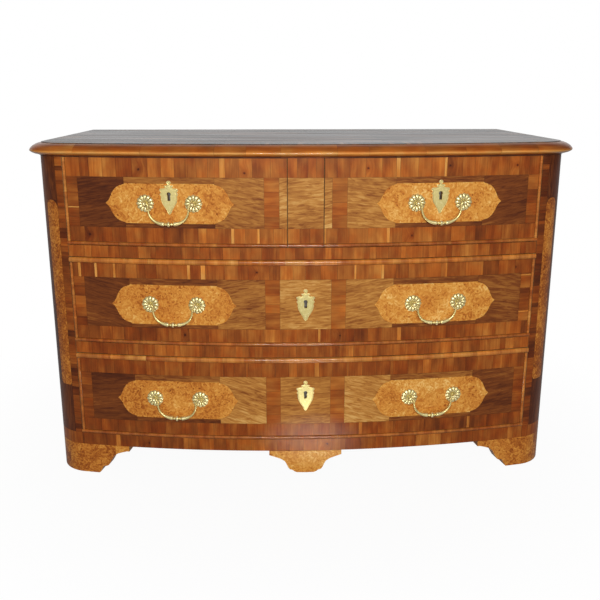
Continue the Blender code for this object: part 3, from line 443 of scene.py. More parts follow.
def polished_wood(name, colour_of, polish=POLISH_WEIGHT, gloss=POLISH_ROUGHNESS):
    """A veneer under French polish. colour_of gives its colour and its relief from the leaf's marks.

    The shellac is a clear coat whose gloss waves a little where it sank into the pores, and the glue
    line round each leaf is dark.
    """
    material, tree, shader = new_material(name)
    marks = add(tree, "SeparateColor", {0: add(tree, "Attribute", attribute_name="leaf")["Color"]})
    knot_up = add(tree, "Attribute", attribute_name="leaf")["Alpha"]
    rim = add(tree, "Attribute", attribute_name="rim")
    sides = add(tree, "SeparateColor", {0: rim["Color"]})
    near_side = add(tree, "Math", {0: sides[0], 1: sides[1]}, operation="MINIMUM")[0]
    near_end = add(tree, "Math", {0: sides[2], 1: rim["Alpha"]}, operation="MINIMUM")[0]
    nearest = add(tree, "Math", {0: near_side, 1: near_end}, operation="MINIMUM")[0]
    shading = {0: nearest, 1: GLUE_LINE * 0.4, 2: GLUE_LINE * 1.6, 3: GLUE_LINE_SHADE, 4: 1.0}
    line = add(tree, "MapRange", shading)[0]
    place = add(tree, "UVMap", uv_map="grain")[0]
    shift = add(tree, "CombineXYZ", {0: marks[1], 1: marks[1], 2: marks[1]})[0]
    moved = add(tree, "VectorMath", {0: shift, "Scale": LOG_SPREAD}, operation="SCALE")[0]
    spot = add(tree, "VectorMath", {0: place, 1: moved}, operation="ADD")[0]
    knot = add(tree, "CombineXYZ", {0: marks[2], 1: knot_up})[0]
    knot_away = add(tree, "VectorMath", {0: knot}, operation="LENGTH")["Value"]
    colour, relief = colour_of(tree, spot, marks[0], knot_away)
    ripple = add(tree, "TexNoise", {"Vector": place, "Scale": 0.48 / POLISH_WAVE_SPACING, "Detail": 1.0})[0]
    wire(tree, shader, {
        "Base Color": add(tree, "VectorMath", {0: colour, "Scale": line}, operation="SCALE")[0],
        "Normal": add(tree, "Bump", {"Height": relief, "Strength": 1.0, "Distance": WOOD_RELIEF})[0],
        "Coat Normal": add(tree, "Bump", {"Height": ripple, "Strength": 1.0, "Distance": POLISH_WAVE})[0],
        "Roughness": WOOD_ROUGHNESS,
        "Specular IOR Level": WOOD_SPECULAR,
        "Coat Weight": polish,
        "Coat Roughness": gloss,
        "Coat IOR": POLISH_IOR,
    })
    return material


def burr_colour(tree, spot, tone, knot_away):
    """Burr: swirls of a warped noise, darkened by small round eyes with a pale ring about each."""
    swirl = {"Vector": spot, "Scale": 0.6 / BURR_SWIRL, "Detail": 5.0, "Roughness": 0.58, "Distortion": 1.6}
    cloud = add(tree, "TexNoise", swirl)[0]
    bend = {"Vector": spot, "Scale": 0.45 / BURR_WARP_SPACING, "Detail": 2.0}
    bent = add(tree, "TexNoise", bend)["Color"]
    push = add(tree, "VectorMath", {0: bent, "Scale": BURR_WARP}, operation="SCALE")[0]
    warped = add(tree, "VectorMath", {0: spot, 1: push}, operation="ADD")[0]
    cell = add(tree, "TexVoronoi", {"Vector": warped, "Scale": 0.45 / BURR_EYE})
    chosen = add(tree, "SeparateColor", {0: cell["Color"]})[0]
    often = add(tree, "Math", {0: chosen, 1: BURR_EYELESS_SHARE}, operation="GREATER_THAN")[0]
    eye = add(tree, "MapRange", {0: cell["Distance"], 1: 0.08, 2: 0.38, 3: 0.36, 4: 0.0})[0]
    eyes = add(tree, "Math", {0: eye, 1: often}, operation="MULTIPLY")[0]
    patch = add(tree, "TexNoise", {"Vector": spot, "Scale": 0.48 / BURR_PATCH, "Detail": 2.0})[0]
    base = add(tree, "MapRange", {0: cloud, 1: 0.30, 2: 0.68, 3: -0.27, 4: 0.27})[0]
    broad = add(tree, "MapRange", {0: patch, 1: 0.35, 2: 0.65, 3: -0.10, 4: 0.14})[0]
    level = add(tree, "Math", {0: base, 1: broad}, operation="ADD")[0]
    lifted = add(tree, "Math", {0: level, 1: tone}, operation="ADD")[0]
    final = add(tree, "Math", {0: lifted, 1: eyes}, operation="SUBTRACT")[0]
    return add(tree, "ValToRGB", {0: final}, stops=BURR_STOPS)[0], final


burr = polished_wood("french_polished_burr_veneer", burr_colour)


def foot_underside(from_corner):
    """Height of the bracket's lower edge at a distance from the carcass's corner line."""
    shares, heights = zip(*FOOT_CURVE)
    share = (FOOT_LENGTH - from_corner) / (FOOT_LENGTH - FOOT_SOLE)
    return np.interp(share, shares, heights) * (FOOT_TOP - FOOT_STEP) * (share < 1.0)


def foot_leaf(start, end, tone):
    """A stretch of a bracket foot between two girths: a wall with its lower edge sawn to the ogee.

    Its section is a rectangle from the sawn edge up to the carcass, FOOT_THICKNESS deep, and the
    lower edge's height comes from the distance to the corner line, along x in front and y beside.
    """
    girth = np.linspace(start, end, 2 + int(abs(end - start) / FOOT_COLUMN))
    x, y, out_x, out_y = outline(girth)
    in_front = np.abs(girth) < CORNER_END
    from_corner = np.where(in_front, BODY_HALF - np.abs(x), y - FRONT_MIDDLE_Y - BOW_RISE)
    low, high = foot_underside(from_corner)[:, None], FOOT_TOP - SEAM
    rise, depth = np.array(FOOT_SECTION).T * [[1.0], [FOOT_THICKNESS]]
    z = low + rise * (high - low)
    proud = VENEER_PROUD - depth
    points = np.stack([x[:, None] + out_x[:, None] * proud, y[:, None] + out_y[:, None] * proud, z], -1)
    along = girth[:, None] + 0 * z
    share = (along - start) / (end - start)
    return {"points": points, **wood_marks(along, z - depth, share, 0.5 + 0 * z, tone, FOOT_GRAIN_TURN)}


for side_name, hand in SIDES:
    foot = [foot_leaf(hand * start, hand * end, tone)
            for start, end, tone in zip(FOOT_JOINTS, FOOT_JOINTS[1:], FOOT_TONES[side_name])]
    piece = put_together(f"front_{side_name}_bracket_foot", foot, burr, "carcass")
    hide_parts(f"front_{side_name}_foot")

# Crossbanding: strips of fruitwood sawn across the log and laid side by side with their grain across the
# band, so each leaf keeps its own tone, from dark heartwood to the pale sapwood slivers.
# It covers the posts' inner edges, the rails, and frames every field of walnut.
TONES = {"black": 0.16, "dark": 0.38, "red": 0.47, "mid": 0.56, "gold": 0.66, "amber": 0.78, "pale": 0.88}
CROSSBAND_STOPS = [(0.0, "431b08"), (0.22, "66300f"), (0.45, "8a4717"), (0.68, "ad6728"), (0.86, "c88439"),
                   (1.0, "dda052")]
STREAK_SPACING = 0.0016
GROWTH_SPACING = 0.0085
CLOUD_SPACING = 0.012
RED_SPACING = 0.022
RED_TINT = (1.06, 0.86, 0.66)
KNOT_RADIUS = 0.0026
# How far the grain is pushed aside by a knot, and how far and how slowly it wanders elsewhere
KNOT_BEND = 0.010
GRAIN_SWAY = 0.004
GRAIN_SWAY_SPACING = 0.035
STREAK_STRETCH = 45
GROWTH_STRETCH = 12
CLOUD_STRETCH = 2.5
LEAF_COLUMN = 0.007
LEAF_SINK = 0.0006
# Widest leaf of a level and of an upright band, how unalike the parts of a wider one are in tone, and by
# how many degrees a leaf's grain may miss the square
WIDEST_LEAF = 0.048
WIDEST_LOW_LEAF = 0.040
TONE_SPREAD = 0.10
GRAIN_SPREAD = 1.5


def banded_colour(tree, spot, tone, knot_away):
    """Crossband: soft clouds under fine streaks along the grain, redder in places, bent round a knot."""
    bend = add(tree, "MapRange", {0: knot_away, 1: 0.0, 2: 8 * KNOT_RADIUS, 3: KNOT_BEND, 4: 0.0})[0]
    drift = add(tree, "TexNoise", {"Vector": spot, "Scale": 0.49 / GRAIN_SWAY_SPACING, "Detail": 1.0})[0]
    sway = add(tree, "Math", {0: drift, 1: GRAIN_SWAY, 2: bend}, operation="MULTIPLY_ADD")[0]
    parts = add(tree, "SeparateXYZ", {0: spot})
    across = add(tree, "Math", {0: parts[1], 1: sway}, operation="ADD")[0]
    swayed = add(tree, "CombineXYZ", {0: parts[0], 1: across, 2: parts[2]})[0]
    fine_map = add(tree, "Mapping", {"Vector": swayed, "Scale": (1 / STREAK_STRETCH, 1, 1)})[0]
    broad_map = add(tree, "Mapping", {"Vector": swayed, "Scale": (1 / GROWTH_STRETCH, 1, 1)})[0]
    fine = add(tree, "TexNoise", {"Vector": fine_map, "Scale": 0.5 / STREAK_SPACING, "Detail": 3.0,
                                  "Roughness": 0.65})[0]
    broad = add(tree, "TexNoise", {"Vector": broad_map, "Scale": 0.5 / GROWTH_SPACING, "Detail": 2.0})[0]
    cloud_map = add(tree, "Mapping", {"Vector": swayed, "Scale": (1 / CLOUD_STRETCH, 1, 1)})[0]
    cloudy = add(tree, "TexNoise", {"Vector": cloud_map, "Scale": 0.5 / CLOUD_SPACING, "Detail": 3.0})[0]
    ragged = add(tree, "TexNoise", {"Vector": spot, "Scale": 0.5 / KNOT_RADIUS, "Detail": 3.0})[0]
    frayed = {0: ragged, 1: 1.6 * KNOT_RADIUS, 2: knot_away}
    knot_near = add(tree, "Math", frayed, operation="MULTIPLY_ADD")[0]
    streaks = add(tree, "MapRange", {0: fine, 1: 0.25, 2: 0.75, 3: -0.09, 4: 0.09})[0]
    bands = add(tree, "MapRange", {0: broad, 1: 0.28, 2: 0.72, 3: -0.08, 4: 0.08})[0]
    cloud = add(tree, "MapRange", {0: cloudy, 1: 0.30, 2: 0.70, 3: -0.13, 4: 0.13})[0]
    core = add(tree, "MapRange", {0: knot_near, 1: KNOT_RADIUS, 2: 2.2 * KNOT_RADIUS, 3: -0.42, 4: 0.0})[0]
    halo = add(tree, "MapRange", {0: knot_near, 1: KNOT_RADIUS, 2: 5 * KNOT_RADIUS, 3: -0.14, 4: 0.0})[0]
    grain = add(tree, "Math", {0: streaks, 1: bands}, operation="ADD")[0]
    clouded = add(tree, "Math", {0: grain, 1: cloud}, operation="ADD")[0]
    knot = add(tree, "Math", {0: core, 1: halo}, operation="ADD")[0]
    marked = add(tree, "Math", {0: clouded, 1: knot}, operation="ADD")[0]
    level = add(tree, "Math", {0: marked, 1: tone}, operation="ADD")[0]
    colour = add(tree, "ValToRGB", {0: level}, stops=CROSSBAND_STOPS)[0]
    red = add(tree, "VectorMath", {0: colour, 1: RED_TINT}, operation="MULTIPLY")[0]
    patches = add(tree, "TexNoise", {"Vector": spot, "Scale": 0.5 / RED_SPACING, "Detail": 2.0})[0]
    redness = add(tree, "MapRange", {0: patches, 1: 0.40, 2: 0.62})[0]
    return add(tree, "Mix", {0: redness, 6: colour, 7: red}, data_type="RGBA")[2], fine


def leaf(low, high, rows, tone, turn=0.0, knot=None, face=carcass_face, crown=None, shares=None):
    """A leaf of veneer, or a bead where it has a crown: a thin closed slab that follows a face.

    It is bounded by two edges, low and high, given at each of its rows. Its point at a share s of the
    way between them stands on the face by the veneer's thickness and the crown's height at s and at
    the share t of its rows, and its underside is sunk into the ground.
    """
    rows = np.asarray(rows, float)
    seam = SEAM * np.linspace(1, -1, len(rows)) * (np.abs(np.linspace(-1, 1, len(rows))) == 1)
    low, high = (edge + 0 * rows for edge in (low, high))
    count = 2 + int(np.abs(high - low).max() / LEAF_COLUMN)
    s = (np.linspace(0, 1, count) if shares is None else shares)[:, None]
    t = ((rows - rows[0]) / (rows[-1] - rows[0]))[None, :] + 0 * s
    along = low + SEAM + s * (high - low - 2 * SEAM)
    across = rows + seam + 0 * s
    point, out = face(along, across)
    swell = VENEER_PROUD + (0 * t if crown is None else crown(s + 0 * t, t))
    top, under = point + out * swell[..., None], point - out * LEAF_SINK
    loop = np.concatenate([top, under[:, ::-1]], axis=1)
    twice = [np.concatenate([part, part[:, ::-1]], axis=1) for part in (along, across, s + 0 * t, t)]
    return {"points": loop, **wood_marks(*twice, tone, turn, knot)}


def cut_list(text):
    """A band's leaves from its cutting list: joints in millimetres, with each leaf's tone between."""
    words = text.split()
    joints = [float(word) / 1000 for word in words[0::2]]
    return [(start, end, TONES[word]) for start, end, word in zip(joints, joints[1:], words[1::2])]


def split_wide(leaves, widest):
    """The same band with every leaf wider than the log cut into equal ones of nearly its tone."""
    cut = []
    for start, end, tone in leaves:
        count = math.ceil((end - start) / widest)
        joints = np.linspace(start, end, count + 1)
        cut += [(a, b, tone + TONE_SPREAD * (dice.random() - 0.5)) for a, b in zip(joints, joints[1:])]
    return cut


def knot_in(low, high, floor, ceiling, knots):
    """The first of the knots that lies inside a leaf, or nothing."""
    inside = [k for k in knots if low < k[0] < high and floor < k[1] < ceiling]
    return inside[0] if inside else None


def across_band(text, floor, ceiling, knots=()):
    """Level band: its leaves stand side by side with their grain upright."""
    bars = []
    for start, end, tone in split_wide(cut_list(text), WIDEST_LEAF):
        knot = knot_in(start, end, floor, ceiling, knots)
        bars.append(leaf(start, end, [floor, ceiling], tone, 90.0 + dice.normal(0, GRAIN_SPREAD), knot))
    return bars


def upright_band(text, low, high):
    """Upright band: its leaves lie on each other with their grain level."""
    return [leaf(low, high, [start, end], tone, dice.normal(0, GRAIN_SPREAD))
            for start, end, tone in split_wide(cut_list(text), WIDEST_LOW_LEAF)]


def random_list(start, end, widths, words):
    """A cutting list whose widths, between two, and tones the maker took as they came off the log."""
    narrowest, widest = widths
    place, text = start, f"{start * 1000:.1f}"
    while place < end:
        place += narrowest + (widest - narrowest) * dice.random() ** 1.6
        place = end if end - place < narrowest else place
        text += f" {words[int(dice.random() * len(words))]} {place * 1000:.1f}"
    return text


crossband = polished_wood("french_polished_crossbanding", banded_colour)

# Corner posts: a narrow crossband beside the drawers, then walnut round the corner, with a tall burr
# strip let into it under a round arch. The burr strip of the left post is jointed below its middle.
# The base rail's crossband runs on round the posts' feet and along the sides.
ROWS = {name: (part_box(name + "_front")[0].z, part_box(name + "_front")[1].z) for name in DRAWER_NAMES}
# Room left beside and over a drawer, and under the top
SIDE_ROOM = 0.0004
DRAWER_ROOM = 0.0010
TOP_ROOM = 0.0005
BASE_BAND_TOP = ROWS["bottom_drawer"][0] - DRAWER_ROOM
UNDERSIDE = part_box("top_board")[0].z
VENEER_TOP = UNDERSIDE - TOP_ROOM
TOP_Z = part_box("top_board")[1].z
POST_BAND_WIDTH = 0.0197
POST_WORDS = ("black", "dark", "dark", "red")
POST_LEAVES = (0.008, 0.030)
STRIP_OFFSET = 0.0392
STRIP_MIDDLE = OPENING_HALF + STRIP_OFFSET
STRIP_HALF = 0.0195
STRIP_ARCH_STEPS = 10
STRIP_FOOT = 0.235
STRIP_FOOT_CURVE = 0.010
STRIP_FOOT_SQUEEZE = 0.45
STRIP_CROWN = 0.700
STRIP_JOINT = 0.478
STRIP_TONE = 0.32
# Tone and grain angle of the posts' walnut: under the strip, over it, behind it, and in its corners
POST_WALNUTS = ((0.26, 88.0), (0.34, 92.0), (0.28, 90.0), (0.26, 90.0))
# Heights of the walnut slivers in the corners by the strip's rounded foot and by its crown
FOOT_SLIVER = 0.0077
CROWN_SLIVER = 0.84 * STRIP_HALF
POST_BACK_GIRTH = CORNER_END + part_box("front_right_post")[1].y - CORNER_Y
WALNUT_STOPS = [(0.0, "2c1107"), (0.22, "55260d"), (0.42, "7d4219"), (0.60, "a4682c"), (0.80, "c1863f"),
                (1.0, "d8a861")]
FIGURE_SPACING = 0.020
FIGURE_LINES = 7.0
FIGURE_STRENGTH = 0.032
FIGURE_SQUEEZE = 0.22
WALNUT_CLOUD = 0.050
WALNUT_PORE = 0.001
PORE_LENGTH = 30.0
STROKE_SPACING = 0.0028
STROKE_STRETCH = 6.0


def walnut_colour(tree, spot, tone, knot_away):
    """Walnut: figure lines, the contours of a stretched noise, and short dark strokes over slow clouds."""
    field_map = add(tree, "Mapping", {"Vector": spot, "Scale": (FIGURE_SQUEEZE, 1, 1)})[0]
    field_noise = add(tree, "TexNoise", {"Vector": field_map, "Scale": 0.5 / FIGURE_SPACING, "Detail": 2.5,
                                         "Roughness": 0.45, "Distortion": 0.5})[0]
    wave = add(tree, "Math", {0: field_noise, 1: 2 * math.pi * FIGURE_LINES}, operation="MULTIPLY")[0]
    lines = add(tree, "Math", {0: wave}, operation="SINE")[0]
    slow = add(tree, "TexNoise", {"Vector": field_map, "Scale": 0.55 / WALNUT_CLOUD, "Detail": 2.0})[0]
    pore_map = add(tree, "Mapping", {"Vector": spot, "Scale": (1 / PORE_LENGTH, 1, 1)})[0]
    pores = add(tree, "TexNoise", {"Vector": pore_map, "Scale": 0.42 / WALNUT_PORE, "Detail": 2.0})[0]
    stroke_map = add(tree, "Mapping", {"Vector": spot, "Scale": (1 / STROKE_STRETCH, 1, 1)})[0]
    stroke = add(tree, "TexNoise", {"Vector": stroke_map, "Scale": 0.5 / STROKE_SPACING, "Detail": 4.0,
                                    "Roughness": 0.62, "Distortion": 0.9})[0]
    figure = add(tree, "Math", {0: lines, 1: FIGURE_STRENGTH}, operation="MULTIPLY")[0]
    cloud = add(tree, "MapRange", {0: slow, 1: 0.3, 2: 0.7, 3: -0.12, 4: 0.12})[0]
    flecks = add(tree, "MapRange", {0: pores, 1: 0.3, 2: 0.7, 3: -0.06, 4: 0.06})[0]
    dark = add(tree, "MapRange", {0: stroke, 1: 0.34, 2: 0.62, 3: -0.30, 4: 0.12})[0]
    strokes = add(tree, "Math", {0: dark, 1: tone, 2: flecks}, operation="MULTIPLY_ADD")[0]
    both = add(tree, "Math", {0: figure, 1: cloud}, operation="ADD")[0]
    all_four = add(tree, "Math", {0: both, 1: strokes}, operation="ADD")[0]
    level = add(tree, "Math", {0: all_four, 1: tone}, operation="ADD")[0]
    return add(tree, "ValToRGB", {0: level}, stops=WALNUT_STOPS)[0], pores


walnut = polished_wood("french_polished_walnut_veneer", walnut_colour)


def strip_half(height):
    """Half width of the burr strip at a height: an arch above, a rounded foot below."""
    into_crown = np.clip((height - (STRIP_CROWN - STRIP_HALF)) / STRIP_HALF, 0, 1)
    into_foot = np.clip((STRIP_FOOT + STRIP_FOOT_CURVE - height) / STRIP_FOOT_CURVE, 0, 1)
    return STRIP_HALF * np.sqrt(1 - into_crown ** 2) * np.sqrt(1 - STRIP_FOOT_SQUEEZE * into_foot ** 2)


def arched_rows(start, end):
    """Heights between two levels, drawn close together where the strip is rounded."""
    turn = np.linspace(0, math.pi / 2, STRIP_ARCH_STEPS)
    rows = np.concatenate([[start, end], STRIP_FOOT + STRIP_FOOT_CURVE * (1 - np.cos(turn)),
                           STRIP_CROWN - STRIP_HALF * (1 - np.sin(turn))])
    return np.unique(np.round(rows[(rows >= start) & (rows <= end)], 5))


def on_side(hand, low, high):
    """A stretch that is listed for the right of the chest, or its mirror on the left."""
    return (low, high) if hand > 0 else (-high, -low)


def dress_post(side_name, hand, joints):
    """Lays the veneers of one corner post, from the drawers' side round to the side board."""
    inner, walnut_start = OPENING_HALF + SIDE_ROOM, OPENING_HALF + POST_BAND_WIDTH
    listed = cut_list(random_list(BASE_BAND_TOP, VENEER_TOP, POST_LEAVES, POST_WORDS))
    band = [leaf(*on_side(hand, inner, walnut_start), [a, b], tone) for a, b, tone in listed]
    rows = arched_rows(STRIP_FOOT, STRIP_CROWN)
    under, over, behind, corner = POST_WALNUTS
    whole = on_side(hand, walnut_start, POST_BACK_GIRTH)
    plain = [
        leaf(*whole, [BASE_BAND_TOP, STRIP_FOOT], *under),
        leaf(*whole, [STRIP_CROWN, VENEER_TOP], *over),
        leaf(*on_side(hand, STRIP_MIDDLE + strip_half(rows), POST_BACK_GIRTH), rows, *behind),
    ]
    for start, end in ((STRIP_FOOT, STRIP_FOOT + FOOT_SLIVER), (STRIP_CROWN - CROWN_SLIVER, STRIP_CROWN)):
        rows = arched_rows(start, end)
        plain.append(leaf(*on_side(hand, walnut_start, STRIP_MIDDLE - strip_half(rows)), rows, *corner))
    burrs = []
    for start, end in zip(joints, joints[1:]):
        rows = arched_rows(start, end)
        half = strip_half(rows)
        burrs.append(leaf(*on_side(hand, STRIP_MIDDLE - half, STRIP_MIDDLE + half), rows, STRIP_TONE))
    put_together(f"{side_name}_post_crossband", band, crossband, "carcass")
    put_together(f"{side_name}_post_walnut", plain, walnut, "carcass")
    put_together(f"{side_name}_post_burr_strip", burrs, burr, "carcass")


dress_post("left", -1, [STRIP_FOOT, STRIP_JOINT, STRIP_CROWN])
dress_post("right", 1, [STRIP_FOOT, STRIP_CROWN])

# Rails: crossbanded with narrow leaves. The base rail is listed leaf by leaf, and carries the apron,
# a drop faced with pale burr that is sawn to a double ogee and follows the bow.
RAIL_WORDS = ("mid", "red", "mid", "gold", "red", "mid")
RAIL_LEAVES = (0.012, 0.060)
RAIL_HALF = OPENING_HALF - SIDE_ROOM
CORNER_WORDS = ("red", "mid", "dark", "mid")
CORNER_LEAVES = (0.012, 0.045)
BASE_RAIL_LIST = ("-564 dark -520 dark -478 gold -466 dark -420 dark -360 dark -305 gold -293 red "
                  "-240 gold -228 red -170 mid -100 mid -40 mid 30 mid 100 red 215 gold 218 red 280 gold "
                  "345 red 400 red 460 red 525 gold 540 red 564")
BASE_KNOTS = [(0.055, 0.096), (-0.392, 0.092)]
APRON_HALF = 0.0905
APRON_DROP = 0.0590
APRON_STEP = 0.0112
APRON_THICKNESS = 0.0220
# Apron's lower edge: (share of its half width, share of its drop below the step)
APRON_CURVE = [(0.00, 1.00), (0.24, 0.99), (0.30, 0.94), (0.36, 0.85), (0.43, 0.82), (0.48, 0.70),
               (0.52, 0.52), (0.57, 0.35), (0.68, 0.21), (0.84, 0.10), (1.00, 0.00)]
# Section of the apron: (share of the way from its sawn edge up to the rail, share of its thickness)
APRON_SECTION = [(0.0, 0.0), (0.5, 0.0), (1.0, 0.0), (1.0, 1.0), (0.0, 1.0)]
APRON_PROUD = 2 * VENEER_PROUD
APRON_OVERLAP = 0.0006
APRON_COLUMNS = 121
APRON_TONE = 0.66


def dress_rails():
    """Crossbands on the faces of the three rails, and on round the corners at the carcass's foot."""
    for name, row_below, row_above in (("upper_rail", "middle_drawer", "top_left_drawer"),
                                       ("lower_rail", "bottom_drawer", "middle_drawer")):
        floor, ceiling = ROWS[row_below][1] + DRAWER_ROOM, ROWS[row_above][0] - DRAWER_ROOM
        bars = across_band(random_list(-RAIL_HALF, RAIL_HALF, RAIL_LEAVES, RAIL_WORDS), floor, ceiling)
        put_together(name + "_crossband", bars, crossband, "carcass")
    bars = across_band(BASE_RAIL_LIST, FOOT_TOP, BASE_BAND_TOP, BASE_KNOTS)
    for hand in (-1, 1):
        round_corner = random_list(*on_side(hand, OPENING_HALF, GIRTH_BACK), CORNER_LEAVES, CORNER_WORDS)
        bars += across_band(round_corner, FOOT_TOP, BASE_BAND_TOP)
    put_together("base_crossband", bars, crossband, "carcass")


def apron_face():
    """Burr facing of the apron: a plate in the plane of the bow whose lower edge is a double ogee.

    Its section at each place along the bow is a rectangle from the sawn edge up to the rail, and it
    stands proud of the solid apron by the veneer's thickness.
    """
    x = np.linspace(-APRON_HALF, APRON_HALF, APRON_COLUMNS)[:, None]
    shares, drops = zip(*APRON_CURVE)
    drop = np.interp(np.abs(x) / APRON_HALF, shares, drops) * (APRON_DROP - APRON_STEP)
    edge = FOOT_TOP - APRON_STEP - drop
    rise, depth = np.array(APRON_SECTION).T
    z = edge - APRON_OVERLAP + rise * (FOOT_TOP - edge)
    y = outline(x)[1] - APRON_PROUD + depth * (APRON_THICKNESS + 2 * APRON_PROUD)
    along = x + 0 * z
    share = (along / APRON_HALF + 1) / 2
    return {"points": np.stack([along, y, z], -1),
            **wood_marks(along, z, share, 0.5 + 0 * z, APRON_TONE, 0.0)}


dress_rails()
put_together("apron_burr_facing", [apron_face()], burr, "carcass")

# Centre muntin: the fixed upright between the short drawers, crossbanded at its head and foot, with a
# waved walnut panel between. The drawers' bead runs on along its foot.
# Beads: half-round sticks of cross-grained fruitwood glued round the drawers in short pieces.
MUNTIN_EDGE = 0.0005
MUNTIN_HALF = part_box("centre_muntin")[1].x - MUNTIN_EDGE
MUNTIN_HEAD_LIST = "-41.6 gold -20 mid 4 gold 24 mid 41.6"
MUNTIN_FOOT_LIST = "-41.6 gold -14 red 10 mid 41.6"
MUNTIN_WALNUT = (0.76, 4.0)
# A bead's width and how far it stands out
BOTTOM_BEAD = (0.0085, 0.0044)
TOP_BEAD = (0.0130, 0.0054)
SIDE_BEAD = (0.0070, 0.0034)
BEAD_STEPS = 12
BEAD_LENGTHS = (0.045, 0.120)
BEAD_WORDS = ("mid", "gold", "mid", "mid")
BEAD_POLISH = 0.55
BEAD_LIFT = 0.0003
# Levels of the muntin's panels: foot and head of its lower crossband, and foot of its upper one
TOP_ROW_BANDS = (0.605, 0.640, 0.757)


def round_shares():
    """Places across a half-round stick, closest together where it is steepest."""
    return (1 - np.cos(np.pi * np.linspace(0, 1, BEAD_STEPS + 1))) / 2


def level_bead(start, end, floor, bead, words=BEAD_WORDS):
    """Bead along the bow: pieces side by side, each a half ellipse in section."""
    width, proud = bead
    rows = floor + width * round_shares()
    return [leaf(a, b, rows, tone, 90.0, crown=lambda s, t: proud * 2 * np.sqrt(t * (1 - t)))
            for a, b, tone in cut_list(random_list(start, end, BEAD_LENGTHS, words))]


def upright_bead(low, floor, ceiling, bead, words):
    """Bead up the side of a drawer, in pieces on each other."""
    width, proud = bead
    return [leaf(low, low + width, [a, b], tone, crown=lambda s, t: proud * 2 * np.sqrt(s * (1 - s)),
                 shares=round_shares())
            for a, b, tone in cut_list(random_list(floor, ceiling, BEAD_LENGTHS, words))]


bead_wood = polished_wood("french_polished_bead", banded_colour, polish=BEAD_POLISH)
muntin_foot, band_foot, band_head = TOP_ROW_BANDS
muntin_bars = across_band(MUNTIN_HEAD_LIST, band_head, VENEER_TOP)
muntin_bars += across_band(MUNTIN_FOOT_LIST, muntin_foot, band_foot)
put_together("muntin_crossband", muntin_bars, crossband, "carcass")
muntin_panel = leaf(-MUNTIN_HALF, MUNTIN_HALF, [band_foot, band_head], *MUNTIN_WALNUT)
put_together("muntin_walnut", [muntin_panel], walnut, "carcass")
muntin_bead = level_bead(-MUNTIN_HALF, MUNTIN_HALF, ROWS["top_left_drawer"][0] + BEAD_LIFT, BOTTOM_BEAD)
put_together("muntin_bead", muntin_bead, bead_wood, "carcass")

# Sides: two book-matched walnut panels in a crossbanded frame, laid on the side board and on the rear
# post. They don't show in the photo, and follow the front's scheme.
SIDE_FRAME = 0.042
SIDE_WORDS = ("dark", "red", "mid", "red", "gold")
SIDE_LEAVES = (0.018, 0.060)
SIDE_TONE = 0.30
SIDE_GRAIN_LEAN = 12.0


def handed(hand, low, high, rows, tone, turn):
    """A leaf that is listed for the right of the chest, or its mirror on the left, grain and all."""
    return leaf(*on_side(hand, low, high), rows, tone, turn * hand)


def dress_side(side_name, hand):
    """Lays one side: a frame of crossband, and two walnut panels that mirror each other."""
    front, back = POST_BACK_GIRTH, GIRTH_BACK
    low, high = BASE_BAND_TOP + SIDE_FRAME, VENEER_TOP - SIDE_FRAME
    middle = (front + back) / 2
    frame_leaves = []
    for floor, ceiling in ((BASE_BAND_TOP, low), (high, VENEER_TOP)):
        listed = cut_list(random_list(front, back, SIDE_LEAVES, SIDE_WORDS))
        frame_leaves += [handed(hand, a, b, [floor, ceiling], tone, 90.0) for a, b, tone in listed]
    for start, end in ((front, front + SIDE_FRAME), (back - SIDE_FRAME, back)):
        listed = cut_list(random_list(low, high, SIDE_LEAVES, SIDE_WORDS))
        frame_leaves += [handed(hand, start, end, [a, b], tone, 0.0) for a, b, tone in listed]
    panels = [handed(hand, start, end, [low, high], SIDE_TONE, 90.0 + lean)
              for start, end, lean in ((front + SIDE_FRAME, middle, -SIDE_GRAIN_LEAN),
                                       (middle, back - SIDE_FRAME, SIDE_GRAIN_LEAN))]
    put_together(f"{side_name}_side_crossband", frame_leaves, crossband, "carcass")
    put_together(f"{side_name}_side_walnut", panels, walnut, "carcass")


for side_name, hand in SIDES:
    dress_side(side_name, hand)

# Back: four level pine boards, tongued together with a bead's gap between them and nailed to the rear
# posts with hand-made nails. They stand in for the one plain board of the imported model.
BACK_BOARDS = 4
BACK_CHAMFER = 0.0025
NAIL_RADIUS = 0.0035
NAIL_RISE = 0.0012
NAIL_FACETS = 8
# Nail head from the wood to its crown: (share of its radius, share of its rise)
NAIL_SECTION = [(0.9, -0.5), (1.0, 0.35), (0.55, 0.9), (0.1, 1.0)]
# How far the nails stand from a board's end, and the shares of its height that they are at
NAIL_INSET = 0.012
NAIL_SHARES = (0.22, 0.78)
RUST_STOPS = [(0.0, "1d1714"), (0.5, "35291f"), (1.0, "4e3c2c")]
RUST_MOTTLE = 0.001
RUST_METALLIC = 0.6
RUST_ROUGHNESS = 0.7


def back_plank(floor, ceiling, low, high):
    """One back board: a six-sided section, chamfered at its back edges, carried from side to side."""
    chamfered, back = high.y - BACK_CHAMFER, high.y
    section = [(low.y, floor), (low.y, ceiling), (chamfered, ceiling), (back, ceiling - BACK_CHAMFER),
               (back, floor + BACK_CHAMFER), (chamfered, floor)]
    points = np.empty((3, len(section), 3))
    points[..., 0] = np.linspace(low.x, high.x, 3)[:, None]
    points[..., 1:] = section
    return {"points": points}


def nail_head(x, y, z):
    """Low faceted head of a hand-made nail: rings that shrink towards its crown."""
    turn = np.linspace(0, 2 * math.pi, NAIL_FACETS, endpoint=False)
    radius, rise = (np.array(side)[:, None] for side in zip(*NAIL_SECTION))
    return {"points": np.stack([x + NAIL_RADIUS * radius * np.cos(turn), y + NAIL_RISE * rise + 0 * turn,
                                z + NAIL_RADIUS * radius * np.sin(turn)], -1)}


